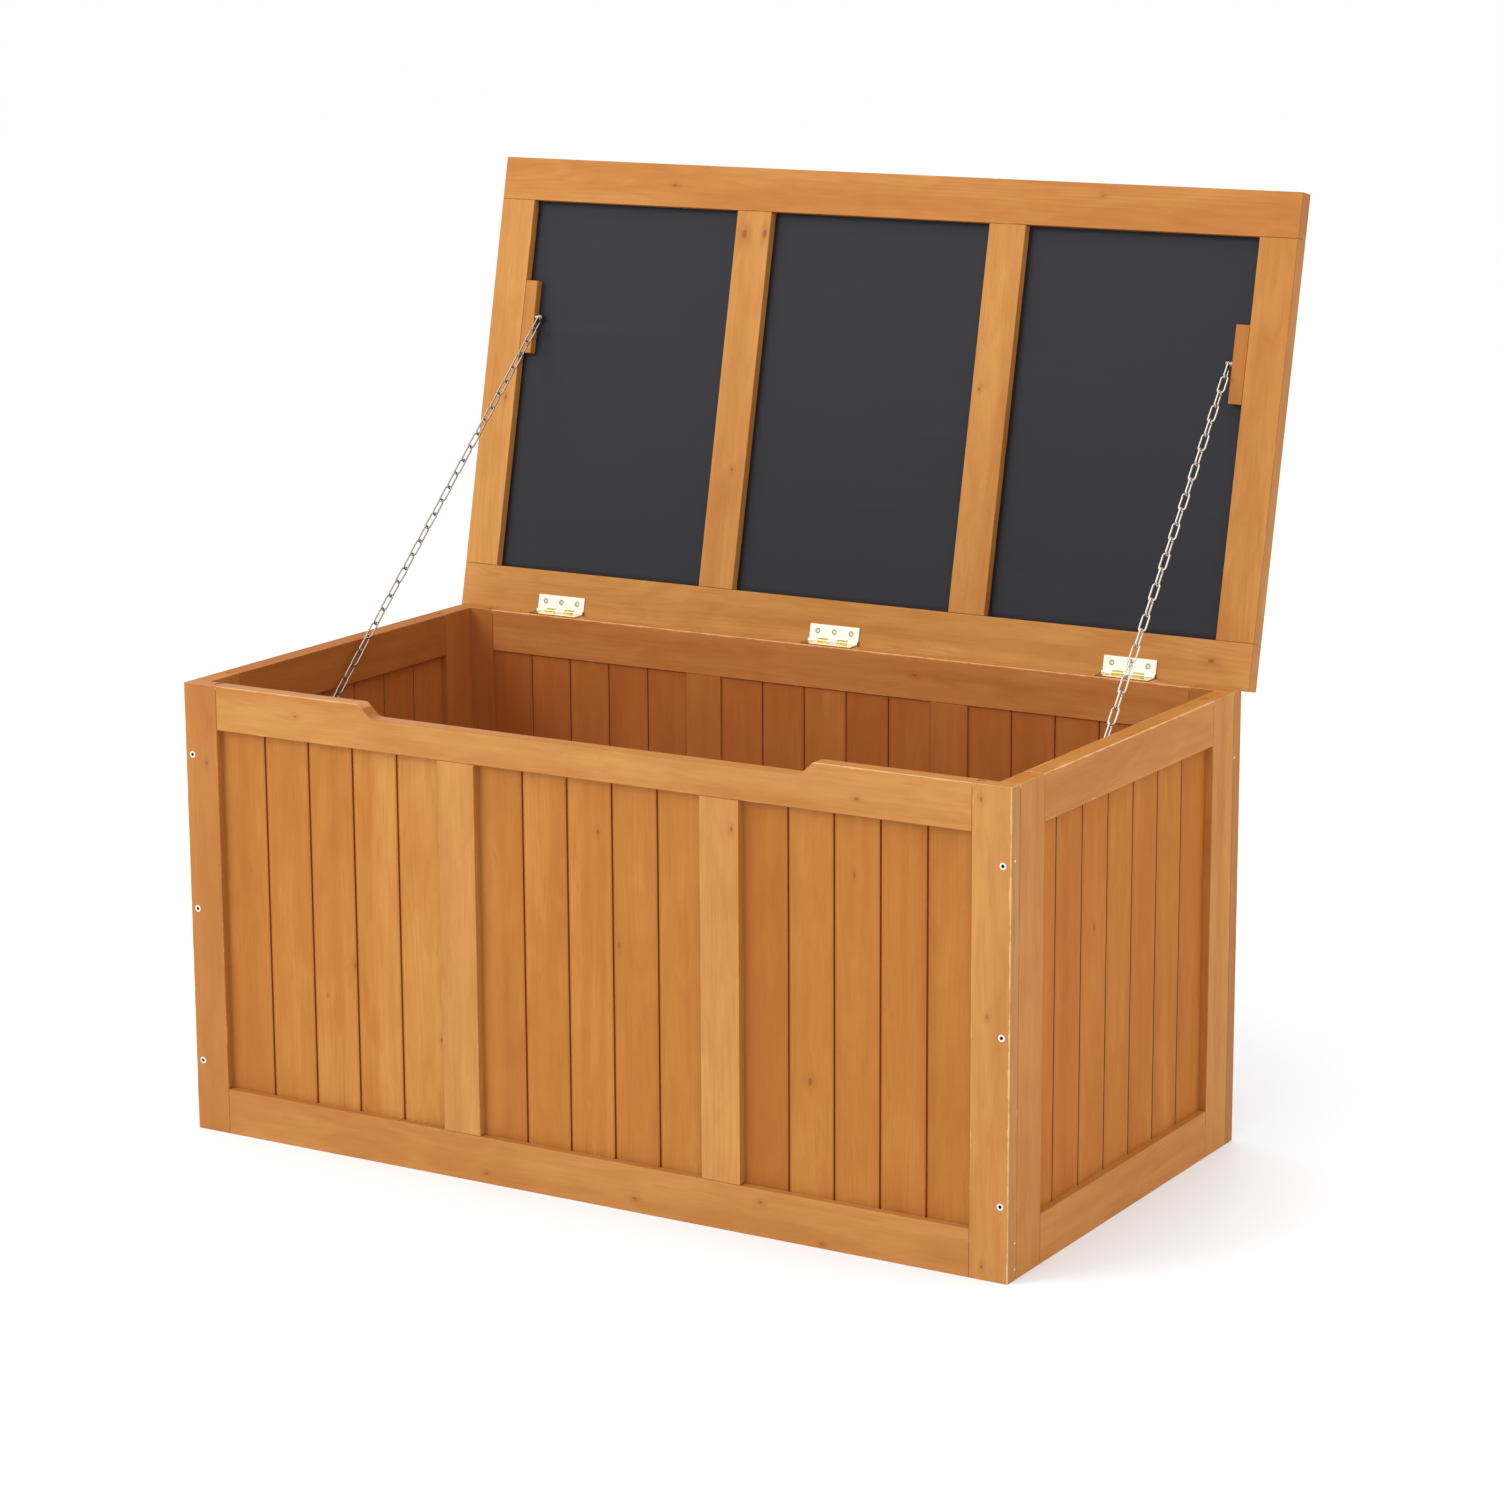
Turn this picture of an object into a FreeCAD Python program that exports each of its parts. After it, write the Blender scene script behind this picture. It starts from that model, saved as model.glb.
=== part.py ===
"""Wooden toy box with a hinged lid held open by two chains.

Millimetres, +Z up, +Y towards the hinges, lid open.  The box is four frame-and-panel walls
butted together with screws; each wall is stiles, rails, mullions and tongue-and-groove boards.
Every physical piece is a solid, and every node is one STEP file in parts/.

The model is built with the front face at y = 0 and moved at the end, so that the origin is at
the middle of the base of the whole object's bounding box.
"""
import FreeCAD, Part
import math
import os

# ---------------------------------------------------------------- driving dimensions
BOX_WIDTH = 1000.0
BOX_DEPTH = 527.0
BOX_HEIGHT = 500.0

FACE_THICKNESS = 18.0        # front and back walls
SIDE_THICKNESS = 22.0        # left and right walls
EASE = 0.8                   # rounding of every arris of the frame members

TOP_RAIL = 48.5
BOTTOM_RAIL = 50.5
SIDE_BOTTOM_RAIL = 52.0
FRONT_STILE = 43.0
BACK_STILE = 52.5
SIDE_STILE = 51.5
MULLION = 46.0
FRONT_BAYS = (287.0, 273.0, 262.0)
BACK_BAYS = (266.0, 271.0, 266.0)
BOARDS_PER_BAY = 5
SIDE_FIRST_BOARD = 43.0
SIDE_BOARDS = 7

BOARD_THICKNESS = 7.5
BOARD_RECESS = 8.5           # board face behind the frame's outer face
GROOVE_DEPTH = 8.0
BOARD_IN_GROOVE = 7.0
TENON_LENGTH = 7.8
BOARD_GAP_FACE = 2.4         # open joint between two boards on the show side
BOARD_GAP_BACK = 1.2
BOARD_BEVEL = 0.7
TONGUE_REACH = 4.0
TONGUE_THICKNESS = 2.5
TONGUE_CLEARANCE = 0.15

SCOOP_LEFT = -269.0          # finger scoop in the front top rail, at the rim
SCOOP_RIGHT = 281.0
SCOOP_DEPTH = 14.5
SCOOP_SLOPE_RUN = 16.0
SCOOP_TOP_RADIUS = 4.0
SCOOP_FOOT_RADIUS = 14.0

FLOOR_THICKNESS = 6.0
FLOOR_CLEARANCE = 1.0
CLEAT_HEIGHT = 20.0
CLEAT_WIDTH = 16.0
CLEAT_BASE = 12.0

LID_LENGTH = 530.0           # front to back
LID_OVERHANG = 6.5           # past each side
LID_THICKNESS = 20.0
LID_STILE = 44.5
LID_FRONT_RAIL = 49.0
LID_REAR_RAIL = 51.0
LID_MULLION = 45.0
LID_FACE_RECESS = 1.5
LID_BOARD_THICKNESS = 6.5
BLACKBOARD_THICKNESS = 2.0
LID_OPEN_ANGLE = 102.3

LEAF_LENGTH = 63.0
LEAF_WIDTH = 18.5            # pin centre to free edge
LEAF_THICKNESS = 1.3
PIN_HEIGHT = 1.5             # pin centre above the rim; the two leaves stay clear of its plane
KNUCKLE_RADIUS = 2.75
KNUCKLE_GAP = 0.3
KNUCKLES = 5
PIN_RADIUS = 1.25
PIN_CLEARANCE = 0.05
PIN_BEHIND_BACK = 3.1
REAR_LIP = 4.5               # lid behind the hinge pins
HINGE_SPACING = 366.0
HINGE_SCREW_SPACING = 21.5
KNUCKLE_RELIEF = 1.8

BLOCK_WIDTH = 16.0
BLOCK_LENGTH = 85.0
BLOCK_REACH = 340.0          # hinge pin to the middle of the lid's chain block
BOX_BLOCK_THICKNESS = 8.0
BOX_ANCHOR_Y = 193.0
BOX_ANCHOR_Z = 409.0

CHAIN_LINKS = 31
CHAIN_WIRE = 2.0
CHAIN_LINK_WIDTH = 9.5
CHAIN_PLAY = 0.25            # between two linked wires
CHAIN_STANDOFF = 5.2         # block face to the middle of the chain
CHAIN_SEGMENT_ENDS = (4, 16, 20)

CHAIN_SCREW_RADIUS = 1.75
CHAIN_SCREW_GRIP = 9.0
LID_WASHER_RADIUS = 4.4
BOX_WASHER_RADIUS = 3.5
WALL_SCREW_HEAD_RADIUS = 3.65
WALL_SCREW_HEAD_HEIGHT = 3.5
WALL_SCREW_SHANK_RADIUS = 2.4
WALL_SCREW_LENGTH = 50.0
HEX_SOCKET_RADIUS = 2.0
HEX_SOCKET_DEPTH = 2.5
WALL_SCREW_INSET = 9.0
WALL_SCREW_HEIGHTS = (78.5, 250.0, 421.5)

BRAD_HEAD_RADIUS = 1.2
BRAD_SHANK_RADIUS = 0.7
BRAD_LENGTH = 15.0
BRAD_PLACES = ((8.0, 426.0), (14.5, 38.5), (15.0, 11.5), (512.0, 428.5))   # y and z, each side

# ---------------------------------------------------------------- derived places
HALF_WIDTH = BOX_WIDTH / 2
PIN_Y = BOX_DEPTH + PIN_BEHIND_BACK
PIN_Z = BOX_HEIGHT + PIN_HEIGHT
LID_INNER_Z = BOX_HEIGHT + 2 * PIN_HEIGHT
LEAF_FACE = PIN_HEIGHT - LEAF_THICKNESS
LID_TOP_Z = LID_INNER_Z + LID_THICKNESS
LID_FRONT_Y = PIN_Y + REAR_LIP - LID_LENGTH
LID_HALF_WIDTH = HALF_WIDTH + LID_OVERHANG
BLACKBOARD_RECESS = LID_THICKNESS - LID_FACE_RECESS - LID_BOARD_THICKNESS - BLACKBOARD_THICKNESS
BLOCK_OUTER_X = LID_HALF_WIDTH - LID_STILE
BLOCK_INNER_X = BLOCK_OUTER_X - BLOCK_WIDTH
SIDE_BOARD_INNER_X = HALF_WIDTH - BOARD_RECESS - BOARD_THICKNESS
BOX_BLOCK_FACE_X = SIDE_BOARD_INNER_X - BOX_BLOCK_THICKNESS
LINK_PITCH_EXTRA = CHAIN_WIRE + CHAIN_PLAY

X_AXIS = FreeCAD.Vector(1, 0, 0)
Y_AXIS = FreeCAD.Vector(0, 1, 0)
Z_AXIS = FreeCAD.Vector(0, 0, 1)
PIN_POINT = FreeCAD.Vector(0, PIN_Y, PIN_Z)


# ---------------------------------------------------------------- general helpers
def box(low, high):
    """Rectangular block between two opposite corners."""
    size = [b - a for a, b in zip(low, high)]
    return Part.makeBox(size[0], size[1], size[2], FreeCAD.Vector(*low))


def eased(solid, radius=EASE):
    """The solid with all its arrises rounded."""
    return solid.makeFillet(radius, solid.Edges)


def prism(points, direction):
    """Closed outline of 3-D points, extruded along a vector."""
    outline = [FreeCAD.Vector(*p) for p in points]
    face = Part.Face(Part.makePolygon(outline + [outline[0]]))
    return face.extrude(direction)


def placed(shape, origin, u_axis, v_axis):
    """Move a shape from its own (u, v, w) axes to the box's axes."""
    w_axis = u_axis.cross(v_axis)
    matrix = FreeCAD.Matrix(
        u_axis.x, v_axis.x, w_axis.x, origin.x,
        u_axis.y, v_axis.y, w_axis.y, origin.y,
        u_axis.z, v_axis.z, w_axis.z, origin.z,
        0, 0, 0, 1)
    result = shape.copy()
    result.Placement = FreeCAD.Placement(matrix).multiply(result.Placement)
    return result


def opened(shape):
    """Swing a lid piece from the closed pose to the open one, about the hinge pins."""
    result = shape.copy()
    result.rotate(PIN_POINT, X_AXIS, -LID_OPEN_ANGLE)
    return result


def rounded_outline(corners):
    """Wire in the (u, v) plane from (u, v, radius) corners, arcs tangent to both sides."""
    edges = []
    ends = []
    for i, (u, v, radius) in enumerate(corners):
        here = FreeCAD.Vector(u, v, 0)
        before = FreeCAD.Vector(corners[i - 1][0], corners[i - 1][1], 0)
        after_corner = corners[(i + 1) % len(corners)]
        after = FreeCAD.Vector(after_corner[0], after_corner[1], 0)
        to_before = (before - here).normalize()
        to_after = (after - here).normalize()
        if radius == 0:
            ends.append((here, here))
            continue
        half = to_before.getAngle(to_after) / 2
        start = here + to_before * (radius / math.tan(half))
        end = here + to_after * (radius / math.tan(half))
        bisector = (to_before + to_after).normalize()
        middle = here + bisector * (radius / math.sin(half) - radius)
        edges.append(Part.Arc(start, middle, end).toShape())
        ends.append((start, end))
    for i, (start, end) in enumerate(ends):
        next_start = ends[(i + 1) % len(ends)][0]
        edges.append(Part.LineSegment(end, next_start).toShape())
    return Part.Wire(Part.__sortEdges__(edges))


# ---------------------------------------------------------------- frame-and-panel walls
# A wall is drawn in its own axes: u to the right and v up as seen from outside, w outwards,
# with the outer face at w = 0.
def stick(u0, u1, v0, v1, thickness):
    """A planed frame member with eased arrises."""
    return eased(box((u0, v0, -thickness), (u1, v1, 0)))


class PanelSection:
    """Where the boards sit in a wall's thickness."""

    def __init__(self, recess, thickness):
        self.face = -recess
        self.back = -recess - thickness

    def slot(self, u0, u1, v0, v1):
        return box((u0, v0, self.back), (u1, v1, self.face))


def board(section, left, right, low, high, first, last):
    """One board: tongue on its right edge, groove in its left edge, bevelled arrises."""
    face = section.face
    back = section.back
    middle = (face + back) / 2
    tongue_top = middle + TONGUE_THICKNESS / 2
    tongue_foot = middle - TONGUE_THICKNESS / 2
    if first:
        outline = [(left - BOARD_IN_GROOVE, back), (left - BOARD_IN_GROOVE, face)]
    else:
        shoulder = left + BOARD_GAP_FACE / 2
        shoulder_back = left + BOARD_GAP_BACK / 2
        groove_end = left + TONGUE_REACH + 0.5
        outline = [
            (shoulder_back + BOARD_BEVEL, back),
            (shoulder_back, back + BOARD_BEVEL),
            (shoulder_back, tongue_foot - TONGUE_CLEARANCE),
            (groove_end, tongue_foot - TONGUE_CLEARANCE),
            (groove_end, tongue_top + TONGUE_CLEARANCE),
            (shoulder, tongue_top + TONGUE_CLEARANCE),
            (shoulder, face - BOARD_BEVEL),
            (shoulder + BOARD_BEVEL, face)]
    if last:
        outline += [(right + BOARD_IN_GROOVE, face), (right + BOARD_IN_GROOVE, back)]
    else:
        shoulder = right - BOARD_GAP_FACE / 2
        shoulder_back = right - BOARD_GAP_BACK / 2
        outline += [
            (shoulder - BOARD_BEVEL, face),
            (shoulder, face - BOARD_BEVEL),
            (shoulder, tongue_top),
            (right + TONGUE_REACH, tongue_top),
            (right + TONGUE_REACH, tongue_foot),
            (shoulder_back, tongue_foot),
            (shoulder_back, back + BOARD_BEVEL),
            (shoulder_back - BOARD_BEVEL, back)]
    foot = low - BOARD_IN_GROOVE
    points = [(u, foot, w) for u, w in outline]
    return prism(points, FreeCAD.Vector(0, high - low + 2 * BOARD_IN_GROOVE, 0))


def board_row(section, left, widths, low, high):
    """A bay's boards, side by side."""
    row = []
    for i, width in enumerate(widths):
        first = i == 0
        last = i == len(widths) - 1
        row.append(board(section, left, left + width, low, high, first, last))
        left += width
    return row


def equal_boards(bay):
    return [bay / BOARDS_PER_BAY] * BOARDS_PER_BAY


def bay_starts(first_left, bays, mullion):
    """Left edge of each bay along a row of bays and mullions."""
    starts = [first_left]
    for bay in bays[:-1]:
        starts.append(starts[-1] + bay + mullion)
    return starts


def upright(u0, u1, low, high, thickness, section, grooves, tenons):
    """A stile or mullion: grooved on the sides named, with stub tenons if it is short."""
    member = stick(u0, u1, low, high, thickness)
    if tenons:
        inset = GROOVE_DEPTH if "left" in grooves else 0
        inset_right = GROOVE_DEPTH if "right" in grooves else 0
        member = member.fuse(section.slot(
            u0 + inset, u1 - inset_right, low - TENON_LENGTH, high + TENON_LENGTH))
    foot = low - TENON_LENGTH - 1
    head = high + TENON_LENGTH + 1
    if "left" in grooves:
        member = member.cut(section.slot(u0 - 1, u0 + GROOVE_DEPTH, foot, head))
    if "right" in grooves:
        member = member.cut(section.slot(u1 - GROOVE_DEPTH, u1 + 1, foot, head))
    return member


def crosspiece(u0, u1, v0, v1, thickness, section, groove, tenons, body=None):
    """A rail: grooved along its top or bottom edge, with stub tenons if it is short."""
    member = body if body is not None else stick(u0, u1, v0, v1, thickness)
    if groove == "top":
        slot_low, slot_high = v1 - GROOVE_DEPTH, v1 + 1
        tenon_low, tenon_high = v0 + EASE, v1 - GROOVE_DEPTH
    else:
        slot_low, slot_high = v0 - 1, v0 + GROOVE_DEPTH
        tenon_low, tenon_high = v0 + GROOVE_DEPTH, v1 - EASE
    if tenons:
        root = 2 * EASE
        member = member.fuse([
            section.slot(u0 - TENON_LENGTH, u0 + root, tenon_low, tenon_high),
            section.slot(u1 - root, u1 + TENON_LENGTH, tenon_low, tenon_high)])
    reach = TENON_LENGTH + 1
    return member.cut(section.slot(u0 - reach, u1 + reach, slot_low, slot_high))


def stile_wall(width, thickness, stile, bottom_rail, bays, boards, top_rail_body=None):
    """A wall whose stiles run full height: returns its pieces by short name."""
    section = PanelSection(BOARD_RECESS, BOARD_THICKNESS)
    right = width - stile
    low = bottom_rail
    high = BOX_HEIGHT - TOP_RAIL
    pieces = {
        "left_stile": upright(
            0, stile, 0, BOX_HEIGHT, thickness, section, ("right",), False),
        "right_stile": upright(
            right, width, 0, BOX_HEIGHT, thickness, section, ("left",), False),
        "bottom_rail": crosspiece(
            stile, right, 0, low, thickness, section, "top", True),
        "top_rail": crosspiece(
            stile, right, high, BOX_HEIGHT, thickness, section, "bottom", True, top_rail_body)}
    starts = bay_starts(stile, bays, MULLION)
    for i, start in enumerate(starts[:-1]):
        left = start + bays[i]
        pieces["mullion_%d" % (i + 1)] = upright(
            left, left + MULLION, low, high, thickness, section, ("left", "right"), True)
    for i, start in enumerate(starts):
        pieces["boards_%d" % (i + 1)] = board_row(section, start, boards[i], low, high)
    return pieces


def scooped_rail_body():
    """The front top rail's blank, with the finger scoop along its upper edge."""
    left = FRONT_STILE
    right = BOX_WIDTH - FRONT_STILE
    low = BOX_HEIGHT - TOP_RAIL
    high = BOX_HEIGHT
    scoop_left = HALF_WIDTH + SCOOP_LEFT
    scoop_right = HALF_WIDTH + SCOOP_RIGHT
    foot = high - SCOOP_DEPTH
    outline = rounded_outline([
        (left, low, 0),
        (right, low, 0),
        (right, high, 0),
        (scoop_right, high, SCOOP_TOP_RADIUS),
        (scoop_right - SCOOP_SLOPE_RUN, foot, SCOOP_FOOT_RADIUS),
        (scoop_left + SCOOP_SLOPE_RUN, foot, SCOOP_FOOT_RADIUS),
        (scoop_left, high, SCOOP_TOP_RADIUS),
        (left, high, 0)])
    blank = Part.Face(outline).extrude(FreeCAD.Vector(0, 0, -FACE_THICKNESS))
    arrises = [
        edge for edge in blank.Edges
        if abs(edge.BoundBox.ZMax - edge.BoundBox.ZMin) < 1e-6]
    return blank.makeFillet(EASE, arrises)


def build_walls():
    """All four walls in the box's axes, as {node: [solids]}."""
    side_length = BOX_DEPTH - 2 * FACE_THICKNESS
    side_opening = side_length - 2 * SIDE_STILE
    other_board = (side_opening - SIDE_FIRST_BOARD) / (SIDE_BOARDS - 1)
    front_to_rear = [SIDE_FIRST_BOARD] + [other_board] * (SIDE_BOARDS - 1)
    face_y = FreeCAD.Vector(-HALF_WIDTH, 0, 0)
    walls = {
        "front": (
            stile_wall(BOX_WIDTH, FACE_THICKNESS, FRONT_STILE, BOTTOM_RAIL, FRONT_BAYS,
                       [equal_boards(bay) for bay in FRONT_BAYS], scooped_rail_body()),
            face_y, X_AXIS),
        "back": (
            stile_wall(BOX_WIDTH, FACE_THICKNESS, BACK_STILE, BOTTOM_RAIL, BACK_BAYS,
                       [equal_boards(bay) for bay in BACK_BAYS]),
            FreeCAD.Vector(HALF_WIDTH, BOX_DEPTH, 0), X_AXIS * -1),
        "left_side": (
            stile_wall(side_length, SIDE_THICKNESS, SIDE_STILE, SIDE_BOTTOM_RAIL,
                       (side_opening,), [front_to_rear[::-1]]),
            FreeCAD.Vector(-HALF_WIDTH, BOX_DEPTH - FACE_THICKNESS, 0), Y_AXIS * -1),
        "right_side": (
            stile_wall(side_length, SIDE_THICKNESS, SIDE_STILE, SIDE_BOTTOM_RAIL,
                       (side_opening,), [front_to_rear]),
            FreeCAD.Vector(HALF_WIDTH, FACE_THICKNESS, 0), Y_AXIS)}
    nodes = {}
    for wall, (pieces, origin, u_axis) in walls.items():
        for name, made in pieces.items():
            solids = made if isinstance(made, list) else [made]
            node = "%s_%s" % (wall, WALL_NAMES[wall].get(name, name))
            nodes[node] = [placed(solid, origin, u_axis, Z_AXIS) for solid in solids]
    return nodes


# The back wall is seen from behind, so its own left is the box's right.  On the side walls the
# stiles are told apart as front and rear.
WALL_NAMES = {
    "front": {
        "mullion_1": "left_mullion", "mullion_2": "right_mullion",
        "boards_1": "left_boards", "boards_2": "middle_boards", "boards_3": "right_boards"},
    "back": {
        "left_stile": "right_stile", "right_stile": "left_stile",
        "mullion_1": "right_mullion", "mullion_2": "left_mullion",
        "boards_1": "right_boards", "boards_2": "middle_boards", "boards_3": "left_boards"},
    "left_side": {
        "left_stile": "rear_stile", "right_stile": "front_stile", "boards_1": "boards"},
    "right_side": {
        "left_stile": "front_stile", "right_stile": "rear_stile", "boards_1": "boards"}}


# ---------------------------------------------------------------- floor
def build_floor():
    """Plywood floor on cleats fixed round the inside of the bottom rails."""
    inner_x = HALF_WIDTH - SIDE_THICKNESS
    front_y = FACE_THICKNESS
    back_y = BOX_DEPTH - FACE_THICKNESS
    top = CLEAT_BASE + CLEAT_HEIGHT
    floor = box(
        (-inner_x + FLOOR_CLEARANCE, front_y + FLOOR_CLEARANCE, top),
        (inner_x - FLOOR_CLEARANCE, back_y - FLOOR_CLEARANCE, top + FLOOR_THICKNESS))
    cleats = []
    for y in (front_y, back_y - CLEAT_WIDTH):
        cleats.append(eased(box((-inner_x, y, CLEAT_BASE), (inner_x, y + CLEAT_WIDTH, top))))
    for x in (-inner_x, inner_x - CLEAT_WIDTH):
        cleats.append(eased(box(
            (x, front_y + CLEAT_WIDTH, CLEAT_BASE), (x + CLEAT_WIDTH, back_y - CLEAT_WIDTH, top))))
    return {"floor_panel": [floor], "floor_cleats": cleats}


# ---------------------------------------------------------------- lid, drawn closed
def build_lid():
    """Lid frame with boards on top, blackboard panels beneath and a chain block each side."""
    width = 2 * LID_HALF_WIDTH
    section = PanelSection(LID_FACE_RECESS, LID_BOARD_THICKNESS + BLACKBOARD_THICKNESS)
    board_section = PanelSection(LID_FACE_RECESS, LID_BOARD_THICKNESS)
    right = width - LID_STILE
    low = LID_FRONT_RAIL
    high = LID_LENGTH - LID_REAR_RAIL
    bay = (width - 2 * LID_STILE - 2 * LID_MULLION) / 3
    thickness = LID_THICKNESS
    pieces = {
        "lid_front_rail": [crosspiece(0, width, 0, low, thickness, section, "top", False)],
        "lid_rear_rail": [crosspiece(
            0, width, high, LID_LENGTH, thickness, section, "bottom", False)],
        "lid_left_stile": [upright(
            0, LID_STILE, low, high, thickness, section, ("right",), True)],
        "lid_right_stile": [upright(
            right, width, low, high, thickness, section, ("left",), True)],
        "lid_boards": [],
        "lid_blackboards": []}
    starts = bay_starts(LID_STILE, (bay, bay, bay), LID_MULLION)
    for side, start in zip(("left", "right"), starts):
        pieces["lid_%s_mullion" % side] = [upright(
            start + bay, start + bay + LID_MULLION, low, high, thickness, section,
            ("left", "right"), True)]
    for start in starts:
        pieces["lid_boards"] += board_row(board_section, start, equal_boards(bay), low, high)
        grip = BOARD_IN_GROOVE
        pieces["lid_blackboards"].append(box(
            (start - grip, low - grip, section.back),
            (start + bay + grip, high + grip, board_section.back)))
    origin = FreeCAD.Vector(-LID_HALF_WIDTH, LID_FRONT_Y, LID_TOP_Z)
    nodes = {
        name: [placed(solid, origin, X_AXIS, Y_AXIS) for solid in solids]
        for name, solids in pieces.items()}
    rear_rail = nodes["lid_rear_rail"][0]
    for x in hinge_centres():
        half = LEAF_LENGTH / 2 + KNUCKLE_GAP
        rear_rail = rear_rail.cut(box(
            (x - half, PIN_Y - KNUCKLE_RADIUS - 2 * KNUCKLE_GAP, LID_INNER_Z - 1),
            (x + half, PIN_Y + REAR_LIP + 1, LID_INNER_Z + KNUCKLE_RELIEF)))
    nodes["lid_rear_rail"] = [rear_rail]
    middle_y = PIN_Y - BLOCK_REACH
    for side, sign in SIDES:
        block = eased(box(
            (BLOCK_INNER_X, middle_y - BLOCK_LENGTH / 2, LID_INNER_Z),
            (BLOCK_OUTER_X, middle_y + BLOCK_LENGTH / 2, LID_INNER_Z + BLACKBOARD_RECESS)))
        nodes["lid_%s_chain_block" % side] = [mirrored(block, sign)]
    return nodes


SIDES = (("left", -1), ("right", 1))


def mirrored(shape, sign):
    """The shape as drawn on the right, or its mirror image on the left."""
    if sign > 0:
        return shape
    return shape.mirror(FreeCAD.Vector(0, 0, 0), X_AXIS)


# ---------------------------------------------------------------- hinges and screws
def hinge_centres():
    return (-HINGE_SPACING, 0.0, HINGE_SPACING)


def countersunk_screw(head_radius, shank_radius, length, slot_width):
    """Wood screw along -Z with its head's face at z = 0 and a cross recess."""
    head_depth = head_radius - shank_radius
    rim = 0.3
    tip = 2.5 * shank_radius
    rim_disc = Part.makeCylinder(head_radius, rim, FreeCAD.Vector(0, 0, -rim))
    cone = Part.makeCone(
        shank_radius, head_radius, head_depth, FreeCAD.Vector(0, 0, -rim - head_depth))
    shank_top = -rim - head_depth
    shank = Part.makeCylinder(
        shank_radius, length - tip + shank_top, FreeCAD.Vector(0, 0, -length + tip))
    point = Part.makeCone(0.3, shank_radius, tip, FreeCAD.Vector(0, 0, -length))
    screw = rim_disc.fuse([cone, shank, point])
    arm = head_radius * 0.62
    half = slot_width / 2
    depth = head_depth * 0.7
    for recess in (
            box((-arm, -half, -depth), (arm, half, 1)),
            box((-half, -arm, -depth), (half, arm, 1))):
        screw = screw.cut(recess)
    return screw


def hinge_leaf(owned, clearance):
    """A leaf on the box rim side: plate in front of the pin, with the owned knuckles.

    Drawn at the origin with the pin along X; the plate is below the pin's centre plane.
    """
    knuckle_pitch = LEAF_LENGTH / KNUCKLES
    half = LEAF_LENGTH / 2
    plate_edge = -KNUCKLE_RADIUS - KNUCKLE_GAP
    leaf = box((-half, -LEAF_WIDTH, -PIN_HEIGHT), (half, plate_edge, -LEAF_FACE))
    for i in range(KNUCKLES):
        if i not in owned:
            continue
        start = -half + i * knuckle_pitch + KNUCKLE_GAP / 2
        length = knuckle_pitch - KNUCKLE_GAP
        barrel = Part.makeCylinder(
            KNUCKLE_RADIUS, length, FreeCAD.Vector(start, 0, 0), X_AXIS)
        web = box((start, plate_edge - 0.5, -PIN_HEIGHT), (start + length, 0, -LEAF_FACE))
        leaf = leaf.fuse([barrel, web])
    bore = Part.makeCylinder(
        PIN_RADIUS + clearance, LEAF_LENGTH + 2, FreeCAD.Vector(-half - 1, 0, 0), X_AXIS)
    return leaf.cut(bore).removeSplitter()


def build_hinges():
    """Three butt hinges with their pins and screws, lid drawn closed."""
    box_leaf = hinge_leaf((1, 3), PIN_CLEARANCE)
    lid_leaf = hinge_leaf((0, 2, 4), PIN_CLEARANCE)
    lid_leaf = lid_leaf.mirror(FreeCAD.Vector(0, 0, 0), Z_AXIS)
    screw = countersunk_screw(3.0, 1.4, 14.0, 0.8)
    screw_y = -(LEAF_WIDTH + KNUCKLE_RADIUS) / 2 - 0.4
    nodes = {"hinge_box_leaves": [], "hinge_lid_leaves": [], "hinge_pins": [],
             "hinge_box_screws": [], "hinge_lid_screws": []}
    for x in hinge_centres():
        centre = FreeCAD.Vector(x, PIN_Y, PIN_Z)
        rim_leaf = box_leaf.translated(centre)
        top_leaf = lid_leaf.translated(centre)
        for offset in (-HINGE_SCREW_SPACING, 0, HINGE_SCREW_SPACING):
            low_seat = centre + FreeCAD.Vector(offset, screw_y, -LEAF_FACE)
            high_seat = centre + FreeCAD.Vector(offset, screw_y, LEAF_FACE)
            down = screw.translated(low_seat)
            up = screw.mirror(FreeCAD.Vector(0, 0, 0), Z_AXIS).translated(high_seat)
            nodes["hinge_box_screws"].append(down)
            nodes["hinge_lid_screws"].append(up)
            rim_leaf = rim_leaf.cut(solid_hole(down, low_seat, -1))
            top_leaf = top_leaf.cut(solid_hole(up, high_seat, 1))
        nodes["hinge_box_leaves"].append(rim_leaf)
        nodes["hinge_lid_leaves"].append(top_leaf)
        nodes["hinge_pins"].append(Part.makeCylinder(
            PIN_RADIUS, LEAF_LENGTH, centre - X_AXIS * (LEAF_LENGTH / 2), X_AXIS))
    return nodes


def solid_hole(screw, seat, direction):
    """The countersunk hole that a hinge screw fills."""
    recess_plug = Part.makeCylinder(2.2, 1.2, seat, FreeCAD.Vector(0, 0, direction))
    return screw.fuse(recess_plug)


def wall_screw_body():
    """Flat-headed furniture screw along -Z before its socket is cut, head face at z = 0."""
    head = Part.makeCylinder(
        WALL_SCREW_HEAD_RADIUS, WALL_SCREW_HEAD_HEIGHT, FreeCAD.Vector(0, 0, -WALL_SCREW_HEAD_HEIGHT))
    point_length = 6.0
    shank = Part.makeCylinder(
        WALL_SCREW_SHANK_RADIUS, WALL_SCREW_LENGTH - point_length,
        FreeCAD.Vector(0, 0, point_length - WALL_SCREW_LENGTH))
    point = Part.makeCone(
        0.8, WALL_SCREW_SHANK_RADIUS, point_length, FreeCAD.Vector(0, 0, -WALL_SCREW_LENGTH))
    return head.fuse([shank, point]).removeSplitter()


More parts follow.
